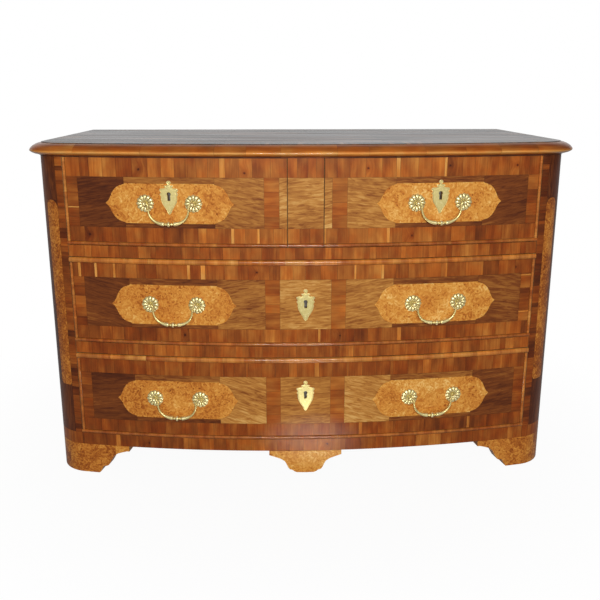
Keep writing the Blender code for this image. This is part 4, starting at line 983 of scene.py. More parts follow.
def rusted_nail_material():
    """Hand-made iron nails: brown-black rust, mottled a millimetre or so across."""
    material, tree, shader = new_material("rusted_iron_nail")
    place = add(tree, "TexCoord")["Object"]
    mottle = add(tree, "TexNoise", {"Vector": place, "Scale": 0.7 / RUST_MOTTLE})[0]
    wire(tree, shader, {
        "Base Color": add(tree, "ValToRGB", {0: mottle}, stops=RUST_STOPS)[0],
        "Metallic": RUST_METALLIC,
        "Roughness": RUST_ROUGHNESS,
    })
    return material


back_low, back_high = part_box("back_board")
levels = np.linspace(back_low.z, back_high.z, BACK_BOARDS + 1)
planks = [back_plank(floor + SEAM, ceiling - SEAM, back_low, back_high)
          for floor, ceiling in zip(levels, levels[1:])]
back_piece = put_together("back_planks", planks, pine_along_x, "carcass")
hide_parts("back_board")
nails = [nail_head(hand * (back_high.x - NAIL_INSET), back_high.y, level + share * (levels[1] - levels[0]))
         for hand in (-1, 1) for level in levels[:-1] for share in NAIL_SHARES]
put_together("back_nails", nails, rusted_nail_material(), "carcass")

# Top: dark polished walnut in two rows of three panels, their grain level, inside a border that follows
# the front. Years of wax, rubbed on in strokes, leave it darker than the front and unevenly glossy.
TOP_BORDER = 0.060
BORDER_OVERHANG = 0.0003
BORDER_WORDS = ("dark", "red", "dark", "mid", "dark")
BORDER_LEAVES = (0.030, 0.075)
TOP_TONES = (0.42, 0.47, 0.42)
TOP_POLISH = 0.55
TOP_GLOSS = 0.22
DARK_TOP_STOPS = [(0.0, "120906"), (0.25, "2a160c"), (0.48, "4c2c1b"), (0.72, "7d5236"), (1.0, "a87a55")]
TOP_STREAK = 0.010
TOP_STREAK_STRETCH = 14.0
TOP_CLOUD = 0.13
WAX_SPACING = 0.020
WAX_SQUEEZE = (1 / 9, 1, 1)
WAX_THIN = 0.38
WAX_THICK = 0.72
BORDER_CORNER_STEPS = 24
BORDER_BOW_STEPS = 49
BOARD_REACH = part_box("top_board")[1].x - BODY_HALF
TOP_BACK_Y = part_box("top_board")[1].y
TOP_BACK_GIRTH = CORNER_END + TOP_BACK_Y - CORNER_Y


def on_top(x, y):
    """Points on the top at places x and y, and the directions straight out of it, which are up."""
    none = 0 * x * y
    return np.stack([x + none, y + none, none + TOP_Z], -1), np.stack([none, none, none + 1], -1)


def border_face(girth, inset):
    """Points on the top at a girth and an inset from the board's edge."""
    x, y, out_x, out_y = outline(girth)
    reach = BOARD_REACH - inset
    return on_top(x + out_x * reach, y + out_y * reach)


def border_inner_line():
    """The border's inner edge across the front: x and y at places drawn close together in the corners."""
    bend = np.linspace(OPENING_HALF, CORNER_END, BORDER_CORNER_STEPS)[1:]
    bow = np.linspace(-OPENING_HALF, OPENING_HALF, BORDER_BOW_STEPS)
    x, y, out_x, out_y = outline(np.concatenate([-bend[::-1], bow, bend]))
    reach = BOARD_REACH - TOP_BORDER
    return x + out_x * reach, y + out_y * reach


def field_face(back, across):
    """Points on the top at a share of the way from the border's front run to the back edge, and an x."""
    start = np.interp(across, *border_inner_line())
    return on_top(across, start + back * (TOP_BACK_Y - start))


def dark_top_colour(tree, spot, tone, knot_away):
    """Dark walnut: long streaks a centimetre or so apart over broad clouds, under old polish."""
    long_map = add(tree, "Mapping", {"Vector": spot, "Scale": (1 / TOP_STREAK_STRETCH, 1, 1)})[0]
    streak = add(tree, "TexNoise", {"Vector": long_map, "Scale": 0.5 / TOP_STREAK, "Detail": 4.0,
                                    "Roughness": 0.6, "Distortion": 0.4})[0]
    slow = add(tree, "TexNoise", {"Vector": spot, "Scale": 0.5 / TOP_CLOUD, "Detail": 2.0})[0]
    streaks = add(tree, "MapRange", {0: streak, 1: 0.32, 2: 0.68, 3: -0.42, 4: 0.42})[0]
    cloud = add(tree, "MapRange", {0: slow, 1: 0.3, 2: 0.7, 3: -0.15, 4: 0.15})[0]
    both = add(tree, "Math", {0: streaks, 1: cloud}, operation="ADD")[0]
    level = add(tree, "Math", {0: both, 1: tone}, operation="ADD")[0]
    return add(tree, "ValToRGB", {0: level}, stops=DARK_TOP_STOPS)[0], streak


def waxed_top_material():
    """Dark walnut whose polish is a coat of wax, thinner and thicker in long strokes."""
    material = polished_wood("waxed_dark_walnut", dark_top_colour, TOP_POLISH, TOP_GLOSS)
    tree = material.node_tree
    stroke_map = add(tree, "Mapping", {"Vector": add(tree, "TexCoord")["Object"], "Scale": WAX_SQUEEZE})[0]
    strokes = add(tree, "TexNoise", {"Vector": stroke_map, "Scale": 0.5 / WAX_SPACING, "Detail": 3.0})[0]
    coat = add(tree, "MapRange", {0: strokes, 1: 0.35, 2: 0.65, 3: WAX_THIN, 4: WAX_THICK})[0]
    wire(tree, tree.nodes["Principled BSDF"], {"Coat Weight": coat})
    return material


def top_panels():
    """Two rows of panels. Their grain map has shares of the top's depth, which are made metres."""
    edge = BODY_HALF + BOARD_REACH - TOP_BORDER
    lines = np.linspace(-edge, edge, len(TOP_TONES) + 1)
    inner_x, inner_y = border_inner_line()
    shares = np.array([0.0, 1.0])
    bars = []
    for start, end, tone in zip(lines, lines[1:], TOP_TONES):
        rows = np.concatenate([[start], inner_x[(inner_x > start) & (inner_x < end)], [end]])
        for back_start, back_end in ((0.0, 0.5), (0.5, 1.0)):
            panel = leaf(back_start, back_end, rows, tone, 90.0, face=field_face, shares=shares)
            panel["grain"][..., 1] *= TOP_BACK_Y - inner_y.min()
            bars.append(panel)
    return bars


dark_top = waxed_top_material()
put_together("top_walnut_panels", top_panels(), dark_top, "carcass")
listed = cut_list(random_list(-TOP_BACK_GIRTH, TOP_BACK_GIRTH, BORDER_LEAVES, BORDER_WORDS))
border = [leaf(a, b, [-BORDER_OVERHANG, TOP_BORDER], tone, 90.0, face=border_face) for a, b, tone in listed]
put_together("top_border", border, dark_top, "carcass")

# Moulding round the top: cross-grained pieces glued to the board's edge and scraped to a fat nose that
# tucks in under itself. Its belly is paler as a painted highlight, and its underside darker as painted
# shade. The joints show as fine lines.
NOSE_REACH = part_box("top_moulding")[1].x - BODY_HALF
SEAM_REACH = -0.0040
NOSE_DROP = 0.0188
NOSE_STEP = 0.0010
FILLET_HEIGHT = 0.0020
FILLET_REACH = 0.0030
FILLET_FOOT = 0.0002
NOSE_POWER = 2 / 1.6
NOSE_STEPS = 14
NOSE_COLUMN = 0.008
# Painted highlight on the belly and painted shade under it: how strong each is, and where it lies
BELLY_PAINTED_HIGHLIGHT = 0.48
BELLY_HEIGHT = 0.0095
BELLY_SPREAD = 0.0045
UNDERSIDE_PAINTED_SHADE = 0.50
UNDERSIDE_SHADE_HEIGHT = 0.0050
MOULDING_WORDS = ("mid", "mid", "mid", "gold")
MOULDING_LENGTHS = (0.060, 0.170)


def nose_section():
    """Section of the moulding: reach beyond the carcass and height.

    Above and below its widest it is a quarter of a superellipse, with the fillet under the lower one.
    """
    thickness = TOP_Z - UNDERSIDE
    widest = thickness - NOSE_DROP
    turn = np.linspace(0, math.pi / 2, NOSE_STEPS)
    rise, run = np.clip(np.cos(turn), 0, 1) ** NOSE_POWER, np.sin(turn) ** NOSE_POWER
    upper = np.stack([SEAM_REACH + (NOSE_REACH - SEAM_REACH) * run,
                      widest + (NOSE_DROP - NOSE_STEP) * rise], -1)
    lower = np.stack([FILLET_REACH + (NOSE_REACH - FILLET_REACH) * run,
                      widest - (widest - FILLET_HEIGHT) * rise], -1)
    return np.concatenate([upper, lower[-2::-1], [(FILLET_REACH, FILLET_FOOT), (SEAM_REACH, FILLET_FOOT)]])


def moulding_piece(start, end, tone):
    """The nose's section carried along the carcass's outline from one joint to the next."""
    section = nose_section()
    girth = np.linspace(start + SEAM, end - SEAM, 2 + int((end - start) / NOSE_COLUMN))[:, None]
    x, y, out_x, out_y = outline(girth)
    reach, rise = section.T
    points = np.stack([x + out_x * reach, y + out_y * reach, UNDERSIDE + rise + 0 * x], -1)
    length = np.concatenate([[0], np.cumsum(np.hypot(*np.diff(section, axis=0).T))])
    along, across = girth + 0 * length, length + 0 * girth
    share = (along - start) / (end - start)
    # The paler band on the belly is a painted highlight, and the darkening under the nose is painted shade
    rubbed = BELLY_PAINTED_HIGHLIGHT * np.exp(-((rise - BELLY_HEIGHT) / BELLY_SPREAD) ** 2)
    painted_shade = UNDERSIDE_PAINTED_SHADE * np.clip(1 - rise / UNDERSIDE_SHADE_HEIGHT, 0, 1)
    return {"points": points,
            **wood_marks(along, across, share, 0.5 + 0 * share, tone + rubbed - painted_shade, 0.0)}


listed = cut_list(random_list(-TOP_BACK_GIRTH, TOP_BACK_GIRTH, MOULDING_LENGTHS, MOULDING_WORDS))
pieces = [moulding_piece(start, end, tone) for start, end, tone in listed]
nose_moulding = put_together("top_nose_moulding", pieces, bead_wood, "carcass")
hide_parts("top_moulding")

# Drawer fronts: each is edged with beads, framed with crossband, and has fields of walnut round burr
# cartouches that carry the handles. Two long drawers also have a golden panel in the middle. The veneers
# are listed as they lie. Between two leaves is a real gap, but for the halves that meet at a keyhole.
HANDLE_INSET = 0.2500
HANDLE_PLACE = OPENING_HALF - HANDLE_INSET
BAND_OUTER = (0.5300, 0.5564)
BAND_INNER = (0.0610, 0.0960)
MUNTIN_ROOM = 0.0017
CARTOUCHE_STRAIGHT = 0.1050
CARTOUCHE_HALF_HEIGHT = 0.0465
CARTOUCHE_ROWS = 61
CARTOUCHE_CROWDING = 1.25
# End of a cartouche: (height above its middle line, reach from its middle), in millimetres
CARTOUCHE_END = [(0.0, 150.5), (1.0, 149.6), (2.5, 147.8), (5.0, 145.0), (8.0, 142.6), (12.0, 140.4),
                 (18.0, 137.6), (23.0, 135.2), (28.0, 132.0), (33.0, 128.2), (37.0, 123.8), (40.0, 119.0),
                 (42.0, 114.0), (43.2, 109.0), (43.8, 105.0), (46.5, 105.0)]
KEY_SHARE = 0.535
KEYHOLE_RADIUS = 0.00475
KEYHOLE_SLOT_HALF = 0.0034
KEYHOLE_HALF = 0.0100
KEYHOLE_ROWS = 37
KEYHOLE_EDGE = 0.00001
BEAD_ROOM = 0.0002
LONG_TOP_BEAD_WORDS = ("amber", "amber", "gold", "amber")
SIDE_BEAD_WORDS = ("gold", "amber")

# Cutting lists: the bands under the top edge and over the bottom edge, and the upright ones at the ends
# and in the middle. The upright ones are mirrored, but for the ends of the middle drawer.
DRAWER_LISTS = {
    "top_left_drawer": {
        "upper": "-556.4 red -522 dark -500 gold -436 red -398 mid -362 gold -300 mid -250 gold -197 pale "
                 "-184 gold -122 mid -80 mid -43.2",
        "lower": "-556.4 red -520 dark -420 red -330 dark -285 red -250 gold -230 mid -173 pale -166 gold "
                 "-113 pale -107 gold -43.2",
        "outer": "640 red 662 dark 684 pale 687 mid 720 red 740 dark 757",
        "inner": "640 mid 693 gold 757",
    },
    "top_right_drawer": {
        "upper": "43.2 mid 100 gold 175 mid 208 pale 217 gold 260 gold 322 pale 328 red 365 gold 425 mid "
                 "480 mid 505 red 556.4",
        "lower": "43.2 pale 48 mid 100 gold 190 pale 197 mid 255 gold 300 red 345 mid 380 dark 430 red "
                 "556.4",
        "outer": "640 dark 660 red 690 dark 722 mid 757",
        "inner": "640 mid 700 gold 757",
    },
    "middle_drawer": {
        "upper": "-556.4 red -544 pale -537 dark -503 pale -497 red -458 pale -452 mid -400 dark -380 red "
                 "-325 mid -279 pale -272 red -247 pale -236 mid -190 gold -160 red -110 mid -60 gold 0 "
                 "red 35 gold 115 pale 120 gold 180 pale 186 red 245 mid 325 gold 340 mid 430 dark 470 "
                 "red 556.4",
        "lower": "-556.4 dark -500 red -440 dark -360 red -300 dark -280 red -140 mid -100 gold -60 mid "
                 "-20 mid 30 pale 36 red 85 dark 150 red 222 pale 232 red 345 dark 392 mid 440 gold 473 "
                 "mid 500 gold 540 red 556.4",
        "outer": "396 dark 418 red 440 mid 470 dark 495 red 518",
        "outer_right": "396 mid 418 pale 422 red 455 dark 480 mid 511 pale 515 red 518",
        "inner": "396 mid 436 gold 480 mid 518",
    },
    "bottom_drawer": {
        "upper": "-556.4 dark -470 dark -390 mid -378 red -310 mid -300 red -200 dark -145 gold -139 red "
                 "-40 gold -20 mid 22 gold 33 red 100 mid 105 red 208 mid 215 red 290 gold 312 red 370 "
                 "dark 430 red 556.4",
        "lower": "-556.4 dark -425 dark -310 red -145 red -100 mid 60 red 133 gold 142 red 220 dark 225 "
                 "red 300 dark 340 dark 412 gold 419 dark 556.4",
        "outer": "151.5 dark 180 red 205 dark 240 red 274.5",
        "inner": "151.5 mid 200 mid 274.5",
    },
}
DRAWER_KNOTS = [(-0.383, 0.775), (-0.140, 0.768), (0.143, 0.778), (0.162, 0.778), (0.335, 0.782),
                (0.500, 0.780), (-0.508, 0.622), (0.250, 0.620), (-0.115, 0.536), (0.515, 0.534),
                (-0.290, 0.380), (0.083, 0.379)]
# Field levels: foot of the field, foot and head of the cartouche, head of the field
FIELD_LEVELS = {
    "top_left_drawer": (0.640, 0.650, 0.743, 0.757),
    "top_right_drawer": (0.640, 0.650, 0.743, 0.757),
    "middle_drawer": (0.396, 0.405, 0.503, 0.518),
    "bottom_drawer": (0.1515, 0.162, 0.260, 0.2745),
}
# Walnut of each half of a front, left -1 and right 1: tone and grain angle of the outer panel, the inner
# one, and the strips over and under the cartouche
WALNUT_TONES = {
    "top_left_drawer": {-1: ((0.27, -8.0), (0.70, 10.0), (0.46, 2.0), (0.36, -2.0))},
    "top_right_drawer": {1: ((0.35, 10.0), (0.74, -8.0), (0.48, -2.0), (0.40, 3.0))},
    "middle_drawer": {-1: ((0.34, 12.0), (0.60, -8.0), (0.46, 1.0), (0.38, -1.0)),
                      1: ((0.44, -9.0), (0.72, 9.0), (0.50, -1.0), (0.40, 2.0))},
    "bottom_drawer": {-1: ((0.30, -6.0), (0.78, 18.0), (0.46, 2.0), (0.38, 0.0)),
                      1: ((0.40, 8.0), (0.82, -16.0), (0.50, -2.0), (0.38, 1.0))},
}
MIDDLE_PANEL_TONES = {"middle_drawer": 0.78, "bottom_drawer": 0.66}
MIDDLE_PANEL_TURN = 3.0
# The short drawers' narrow panel beside the muntin
NARROW_PANEL = (0.80, 12.0)
BURR_TONES = {"top_left_drawer": {-1: 0.58}, "top_right_drawer": {1: 0.62},
              "middle_drawer": {-1: 0.54, 1: 0.64}, "bottom_drawer": {-1: 0.52, 1: 0.62}}


def key_height(drawer):
    """Height of the middle of a drawer's keyhole, from its escutcheon."""
    low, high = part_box(drawer + "_escutcheon")
    return low.z + KEY_SHARE * (high.z - low.z)


def keyhole_half(height, key_z):
    """Half width of a keyhole at a height: a round hole over a slot, and nothing above and below them."""
    up = height - key_z
    round_z = KEYHOLE_HALF - KEYHOLE_RADIUS
    hole = np.sqrt(np.clip(KEYHOLE_RADIUS ** 2 - (up - round_z) ** 2, 0, None))
    slot = np.where((up > -KEYHOLE_HALF) & (up < round_z), KEYHOLE_SLOT_HALF, 0.0)
    return np.maximum(hole, slot)


def keyhole_rows(start, end, key_z):
    """Heights between two levels, drawn close together past the keyhole."""
    fine = key_z + np.linspace(-KEYHOLE_HALF, KEYHOLE_HALF, KEYHOLE_ROWS)
    foot = key_z - KEYHOLE_HALF
    rows = np.concatenate([[start, end], fine, [foot - KEYHOLE_EDGE, foot + KEYHOLE_EDGE]])
    return np.unique(rows[(rows >= start) & (rows <= end)])


def cartouche_reach(height, foot, head):
    """Reach of a cartouche's end from its middle at a height: a pointed ogee between round shoulders."""
    up, reach = (np.array(side) / 1000 for side in zip(*CARTOUCHE_END))
    share = np.abs(2 * (height - foot) / (head - foot) - 1) * CARTOUCHE_HALF_HEIGHT
    return np.where(share >= CARTOUCHE_HALF_HEIGHT, CARTOUCHE_STRAIGHT, np.interp(share, up, reach))


def cartouche_rows(foot, head):
    """Heights up a cartouche, closest together at the tips of its ends."""
    share = np.linspace(-1, 1, CARTOUCHE_ROWS)
    crowded = np.sign(share) * np.abs(share) ** CARTOUCHE_CROWDING
    return (foot + head) / 2 + (head - foot) / 2 * crowded


def one_leaf(left, right):
    """Makes two halves round a keyhole one leaf: the figure runs through, with no glue line between."""
    left["leaf"][..., 1] = right["leaf"].flat[1]
    left["rim"][..., 1] += 1.0
    right["rim"][..., 0] += 1.0
    return [left, right]


def cartouche(drawer, hand, levels, keyed):
    """Burr cartouche under a handle, laid as two halves where a keyhole passes through it."""
    foot, head = levels[1:3]
    centre = hand * HANDLE_PLACE
    tone = BURR_TONES[drawer][hand]
    rows = cartouche_rows(foot, head)
    if not keyed:
        reach = cartouche_reach(rows, foot, head)
        return [leaf(centre - reach, centre + reach, rows, tone)]
    key_z = key_height(drawer)
    rows = np.unique(np.concatenate([rows, keyhole_rows(foot, head, key_z)]))
    reach, hole = cartouche_reach(rows, foot, head), keyhole_half(rows, key_z)
    return one_leaf(leaf(centre - reach, centre - hole + SEAM, rows, tone),
                    leaf(centre + hole - SEAM, centre + reach, rows, tone))


def field(drawer, hand, levels):
    """Walnut round one cartouche: a panel beyond each of its ends, and a strip over and under it."""
    floor, foot, head, ceiling = levels
    outer, inner, over, under = WALNUT_TONES[drawer][hand]
    rows = np.concatenate([[floor], cartouche_rows(foot, head), [ceiling]])
    reach = np.maximum(cartouche_reach(rows, foot, head), CARTOUCHE_STRAIGHT)
    start, end = HANDLE_PLACE - CARTOUCHE_STRAIGHT, HANDLE_PLACE + CARTOUCHE_STRAIGHT
    return [handed(hand, HANDLE_PLACE + reach, BAND_OUTER[0], rows, *outer),
            handed(hand, BAND_INNER[1], HANDLE_PLACE - reach, rows, *inner),
            handed(hand, start, end, [head, ceiling], *over),
            handed(hand, start, end, [floor, foot], *under)]


def middle_panel(drawer, levels):
    """Golden panel in the middle of a long drawer, laid as two halves that meet over the keyhole."""
    floor, ceiling = levels[0], levels[3]
    key_z = key_height(drawer)
    rows = keyhole_rows(floor, ceiling, key_z)
    hole = keyhole_half(rows, key_z)
    tone = MIDDLE_PANEL_TONES[drawer]
    return one_leaf(leaf(-BAND_INNER[0], SEAM - hole, rows, tone, MIDDLE_PANEL_TURN),
                    leaf(hole - SEAM, BAND_INNER[0], rows, tone, MIDDLE_PANEL_TURN))


def dress_drawer(drawer, hands):
    """Lays all the veneers and beads of one drawer front. hands says which halves of the front it has."""
    lists, levels = DRAWER_LISTS[drawer], FIELD_LEVELS[drawer]
    low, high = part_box(drawer + "_front")
    long_drawer = len(hands) == 2
    foot = low.z + BOTTOM_BEAD[0] + BEAD_ROOM
    head = high.z - (TOP_BEAD[0] + BEAD_ROOM if long_drawer else 0.0)
    bands = across_band(lists["lower"], foot, levels[0], DRAWER_KNOTS)
    bands += across_band(lists["upper"], levels[3], head, DRAWER_KNOTS)
    for hand in hands:
        outer = lists["outer_right"] if hand > 0 and "outer_right" in lists else lists["outer"]
        for text, edges in ((outer, BAND_OUTER), (lists["inner"], BAND_INNER)):
            bands += upright_band(text, *on_side(hand, *edges))
    put_together(drawer + "_crossband", bands, crossband, drawer)

    walnuts = [panel for hand in hands for panel in field(drawer, hand, levels)]
    if long_drawer:
        walnuts += middle_panel(drawer, levels)
    else:
        edges = on_side(hands[0], MUNTIN_HALF + MUNTIN_ROOM, BAND_INNER[0])
        walnuts.append(leaf(*edges, [levels[0], levels[3]], *NARROW_PANEL))
    put_together(drawer + "_walnut", walnuts, walnut, drawer)
    burrs = [half for hand in hands for half in cartouche(drawer, hand, levels, not long_drawer)]
    put_together(drawer + "_cartouches", burrs, burr, drawer)

    beads = level_bead(low.x, high.x, low.z, BOTTOM_BEAD)
    if long_drawer:
        beads += level_bead(low.x, high.x, high.z - TOP_BEAD[0], TOP_BEAD, LONG_TOP_BEAD_WORDS)
    for hand in hands:
        start = high.x - SIDE_BEAD[0] if hand > 0 else low.x
        beads += upright_bead(start, low.z + BOTTOM_BEAD[0], head, SIDE_BEAD, SIDE_BEAD_WORDS)
    put_together(drawer + "_beads", beads, bead_wood, drawer)


dress_drawer("top_left_drawer", (-1,))
dress_drawer("top_right_drawer", (1,))
dress_drawer("middle_drawer", (-1, 1))
dress_drawer("bottom_drawer", (-1, 1))

# Locks: forged iron cases and bolts let into the backs of the fronts. They are seen only from inside
# an open drawer and through the keyholes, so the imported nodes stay.
# Escutcheons: pale gilt brass plates cast and filed to a shield under a finial, with an engraved line.
BRASS_STOPS = [(0.0, "483b19"), (0.30, "84733a"), (0.60, "c0ac64"), (0.85, "e3d18a"), (1.0, "f9edba")]
BRASS_ROUGHNESS = 0.34
BRASS_DULL_ROUGHNESS = 0.55
BRASS_METALLIC = 0.64
BRASS_MOTTLE = 0.002
BRASS_PITTING = 0.0002
IRON_STOPS = [(0.0, "3a3735"), (0.5, "6e6a66"), (1.0, "9d9892")]
IRON_METALLIC = 0.85
IRON_ROUGHNESS = 0.55
IRON_DENTS = 0.0004
IRON_DENT_SPACING = 0.003
ESCUTCHEON_SEAT = 0.0005
ESCUTCHEON_THICKNESS = 0.0021
ESCUTCHEON_WIDTH = 0.0440
# Edge of the shield, from its finial to its point: (share of its half width, share of its height)
ESCUTCHEON_EDGE = [(0.00, 1.000), (0.08, 0.997), (0.14, 0.985), (0.21, 0.972), (0.24, 0.955), (0.24, 0.935),
                   (0.22, 0.915), (0.13, 0.895), (0.11, 0.880), (0.18, 0.870), (0.30, 0.862), (0.43, 0.856),
                   (0.50, 0.845), (0.50, 0.832), (0.47, 0.820), (0.38, 0.808), (0.33, 0.795), (0.42, 0.784),
                   (0.58, 0.775), (0.72, 0.772), (0.82, 0.770), (0.93, 0.761), (0.99, 0.745), (1.00, 0.715),
                   (0.97, 0.696), (0.92, 0.680), (0.87, 0.665), (0.86, 0.650), (0.89, 0.634), (0.95, 0.620),
                   (0.98, 0.600), (0.96, 0.580), (0.90, 0.562), (0.87, 0.545), (0.86, 0.520), (0.88, 0.490),
                   (0.88, 0.455), (0.85, 0.420), (0.79, 0.360), (0.70, 0.300), (0.58, 0.240), (0.44, 0.180),
                   (0.31, 0.125), (0.24, 0.070), (0.15, 0.025), (0.06, 0.004), (0.00, 0.000)]
ESCUTCHEON_ROWS = 70
ESCUTCHEON_COLUMNS = 15
ESCUTCHEON_BEVEL = 0.0011
# Share of the plate's thickness that is left at the foot of its bevel
BEVEL_FOOT = 0.45
ENGRAVED_LINE = 0.0026
ENGRAVED_WIDTH = 0.0005
ENGRAVED_DEPTH = 0.0003
# Plate: the wear of its face, the painted highlight on its bevel, and how much darker the engraved line is
FACE_WEAR = 0.84
BEVEL_PAINTED_HIGHLIGHT = 0.14
LINE_DIRT = 0.22
MERGING = 0.000002
PLATE_SHARP_DEGREES = 38.0


def gilt_brass_material():
    """Cast brass, chased and rubbed: bright on the high spots, brown in the hollows, faintly mottled."""
    material, tree, shader = new_material("rubbed_gilt_brass")
    # Each piece's tone: wear and dirt, and on the escutcheons a painted highlight along the bevel
    wear = add(tree, "SeparateColor", {0: add(tree, "Attribute", attribute_name="leaf")["Color"]})[0]
    place = add(tree, "TexCoord")["Object"]
    mottle = add(tree, "TexNoise", {"Vector": place, "Scale": 0.52 / BRASS_MOTTLE, "Detail": 4.0})[0]
    uneven = add(tree, "MapRange", {0: mottle, 1: 0.3, 2: 0.7, 3: -0.07, 4: 0.07})[0]
    level = add(tree, "Math", {0: wear, 1: uneven}, operation="ADD")[0]
    wire(tree, shader, {
        "Base Color": add(tree, "ValToRGB", {0: level}, stops=BRASS_STOPS)[0],
        "Roughness": add(tree, "MapRange", {0: level, 3: BRASS_DULL_ROUGHNESS, 4: BRASS_ROUGHNESS})[0],
        "Normal": add(tree, "Bump", {"Height": mottle, "Strength": 0.25, "Distance": BRASS_PITTING})[0],
        "Metallic": BRASS_METALLIC,
    })
    return material


def forged_iron_material():
    """Forged iron gone dull: hammered unevenness a few millimetres across under a grey-brown skin."""
    material, tree, shader = new_material("forged_iron")
    place = add(tree, "TexCoord")["Object"]
    hammered = add(tree, "TexNoise", {"Vector": place, "Scale": 0.48 / IRON_DENT_SPACING, "Detail": 3.0})[0]
    wire(tree, shader, {
        "Base Color": add(tree, "ValToRGB", {0: hammered}, stops=IRON_STOPS)[0],
        "Normal": add(tree, "Bump", {"Height": hammered, "Strength": 0.6, "Distance": IRON_DENTS})[0],
        "Metallic": IRON_METALLIC,
        "Roughness": IRON_ROUGHNESS,
    })
    return material


def bow_angle(x):
    """Angle that the bow's face makes with the X axis at an x."""
    return math.atan(2 * BOW_RISE * x / OPENING_HALF ** 2)


def front_place(points, x, z):
    """Moves points from a front's own frame (along the bow, out of it negative, up) to the chest."""
    sine, cosine = math.sin(bow_angle(x)), math.cos(bow_angle(x))
    y = FRONT_MIDDLE_Y + BOW_RISE * (x / OPENING_HALF) ** 2
    turned = np.array([[cosine, sine, 0], [-sine, cosine, 0], [0, 0, 1]])
    return points @ turned + np.array([x, y, z])


def shield_points():
    """Half of the shield: a grid from the keyhole or the middle line out to the edge.

    Its face is level with a bevel down to the edge, and a line engraved beside it: both follow the
    distance to the nearest point of the edge.
    """
    low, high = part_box("top_left_drawer_escutcheon")
    height = high.z - low.z
    widths, ups = (np.array(side) for side in zip(*ESCUTCHEON_EDGE))
    key_z = KEY_SHARE * height
    rows = np.unique(np.concatenate([ups * height, np.linspace(0, height, ESCUTCHEON_ROWS),
                                     keyhole_rows(0.0, height, key_z)]))
    half = np.interp(rows, ups[::-1] * height, widths[::-1]) * ESCUTCHEON_WIDTH / 2
    hole = np.minimum(keyhole_half(rows, key_z), half)
    x = hole[:, None] + np.linspace(0, 1, ESCUTCHEON_COLUMNS) * (half - hole)[:, None]
    z = rows[:, None] + 0 * x
    gap = np.hypot(x[..., None] - half, z[..., None] - rows).min(-1)
    bevel = np.clip(gap / ESCUTCHEON_BEVEL, 0, 1)
    engraved = np.exp(-((gap - ENGRAVED_LINE) / ENGRAVED_WIDTH) ** 2)
    crown = BEVEL_FOOT + (1 - BEVEL_FOOT) * np.sin(bevel * math.pi / 2)
    rise = ESCUTCHEON_THICKNESS * crown - ENGRAVED_DEPTH * engraved
    # Tone of the plate: wear on its face, a painted highlight on its bevel, and dirt in the engraved line
    wear = FACE_WEAR + BEVEL_PAINTED_HIGHLIGHT * (1 - bevel) - LINE_DIRT * engraved
    return x, z - key_z, rise, wear, hole


def escutcheon(drawer, x_place):
    """Pierced shield plate over a keyhole, merged from its two halves into one closed piece."""
    x, z, rise, wear, hole = shield_points()
    rows, columns = x.shape
    grids, tones = [], []
    for hand in (-1, 1):
        for out in (ESCUTCHEON_SEAT + rise, ESCUTCHEON_SEAT + 0 * rise):
            grid = np.stack([hand * x, -out, z], -1).reshape(-1, 3)
            grids.append(front_place(grid, x_place, key_height(drawer)))
            tones.append(wear.ravel())
    i, j = np.meshgrid(np.arange(rows - 1), np.arange(columns - 1), indexing="ij")
    a = i * columns + j
    sheet = np.stack([a, a + 1, a + columns + 1, a + columns], -1).reshape(-1, 4)
    step, faces = rows * columns, []
    line = np.arange(rows - 1)
    pierced = line[(hole[:-1] > 0) | (hole[1:] > 0)]
    for number, hand in enumerate((-1, 1)):
        front, back = 2 * number * step, (2 * number + 1) * step
        flow = slice(None, None, hand)
        faces += [(front + sheet)[:, flow], (back + sheet[:, ::-1])[:, flow]]
        for column, chosen, way in ((columns - 1, line, 1), (0, pierced, -1)):
            edge = chosen * columns + column
            wall = np.stack([front + edge, back + edge, back + edge + columns, front + edge + columns], -1)
            faces.append(wall[:, ::way * hand])
    mesh = bpy.data.meshes.new(drawer + "_shield")
    mesh.from_pydata(np.concatenate(grids).tolist(), [], np.concatenate(faces).tolist())
    marks = np.zeros((4 * step, 4))
    marks[:, 0] = np.concatenate(tones)
    mesh.attributes.new("leaf", "FLOAT_COLOR", "POINT").data.foreach_set("color", marks.ravel())
    merged = bmesh.new()
    merged.from_mesh(mesh)
    bmesh.ops.remove_doubles(merged, verts=merged.verts, dist=MERGING)
    bmesh.ops.dissolve_degenerate(merged, edges=merged.edges, dist=MERGING)
    bmesh.ops.recalc_face_normals(merged, faces=merged.faces)
    merged.to_mesh(mesh)
    merged.free()
    piece = make_piece(mesh, gilt_brass, drawer, PLATE_SHARP_DEGREES)
    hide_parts(drawer + "_escutcheon")


gilt_brass = gilt_brass_material()
forged_iron = forged_iron_material()
for drawer, key_place in (("top_left_drawer", -HANDLE_PLACE), ("top_right_drawer", HANDLE_PLACE),
                          ("middle_drawer", 0.0), ("bottom_drawer", 0.0)):
    finish_nodes(forged_iron, drawer + "_lock_case", drawer + "_lock_bolt")
    escutcheon(drawer, key_place)

# Handles: a cast bail hangs on two pierced balls that rise from petalled rosettes. The bail is turned
# as a baluster each side of a collar, and its slim arms end in pins sprung into the balls.
HANDLE_SPAN = 0.1130
HINGE_STANDOFF = 0.0140
ROSETTE_RADIUS = 0.0212
ROSETTE_HEIGHT = 0.0062
ROSETTE_SINK = 0.0001
ROSETTE_SEAT = ESCUTCHEON_SEAT - ROSETTE_SINK
PETALS = 12
PETAL_STEPS = 14
NECK_CORNERS = 20
BALL_RADIUS = 0.0050
BALL_CORNERS = 24
BALL_ARC_STEPS = 16
PIN_HOLE = 0.0027
BAIL_HALF = 0.0477
BAIL_BEND = 0.0040
BAIL_DROP = 0.0465
BAIL_POWER = 2 / 2.6
BAIL_PATH_STEPS = 90
BAIL_BEND_STEPS = 8
BAIL_RINGS = 110
BAIL_CORNERS = 18
PIN_TIP = 0.0035
HANDLE_SHARP_DEGREES = 50.0
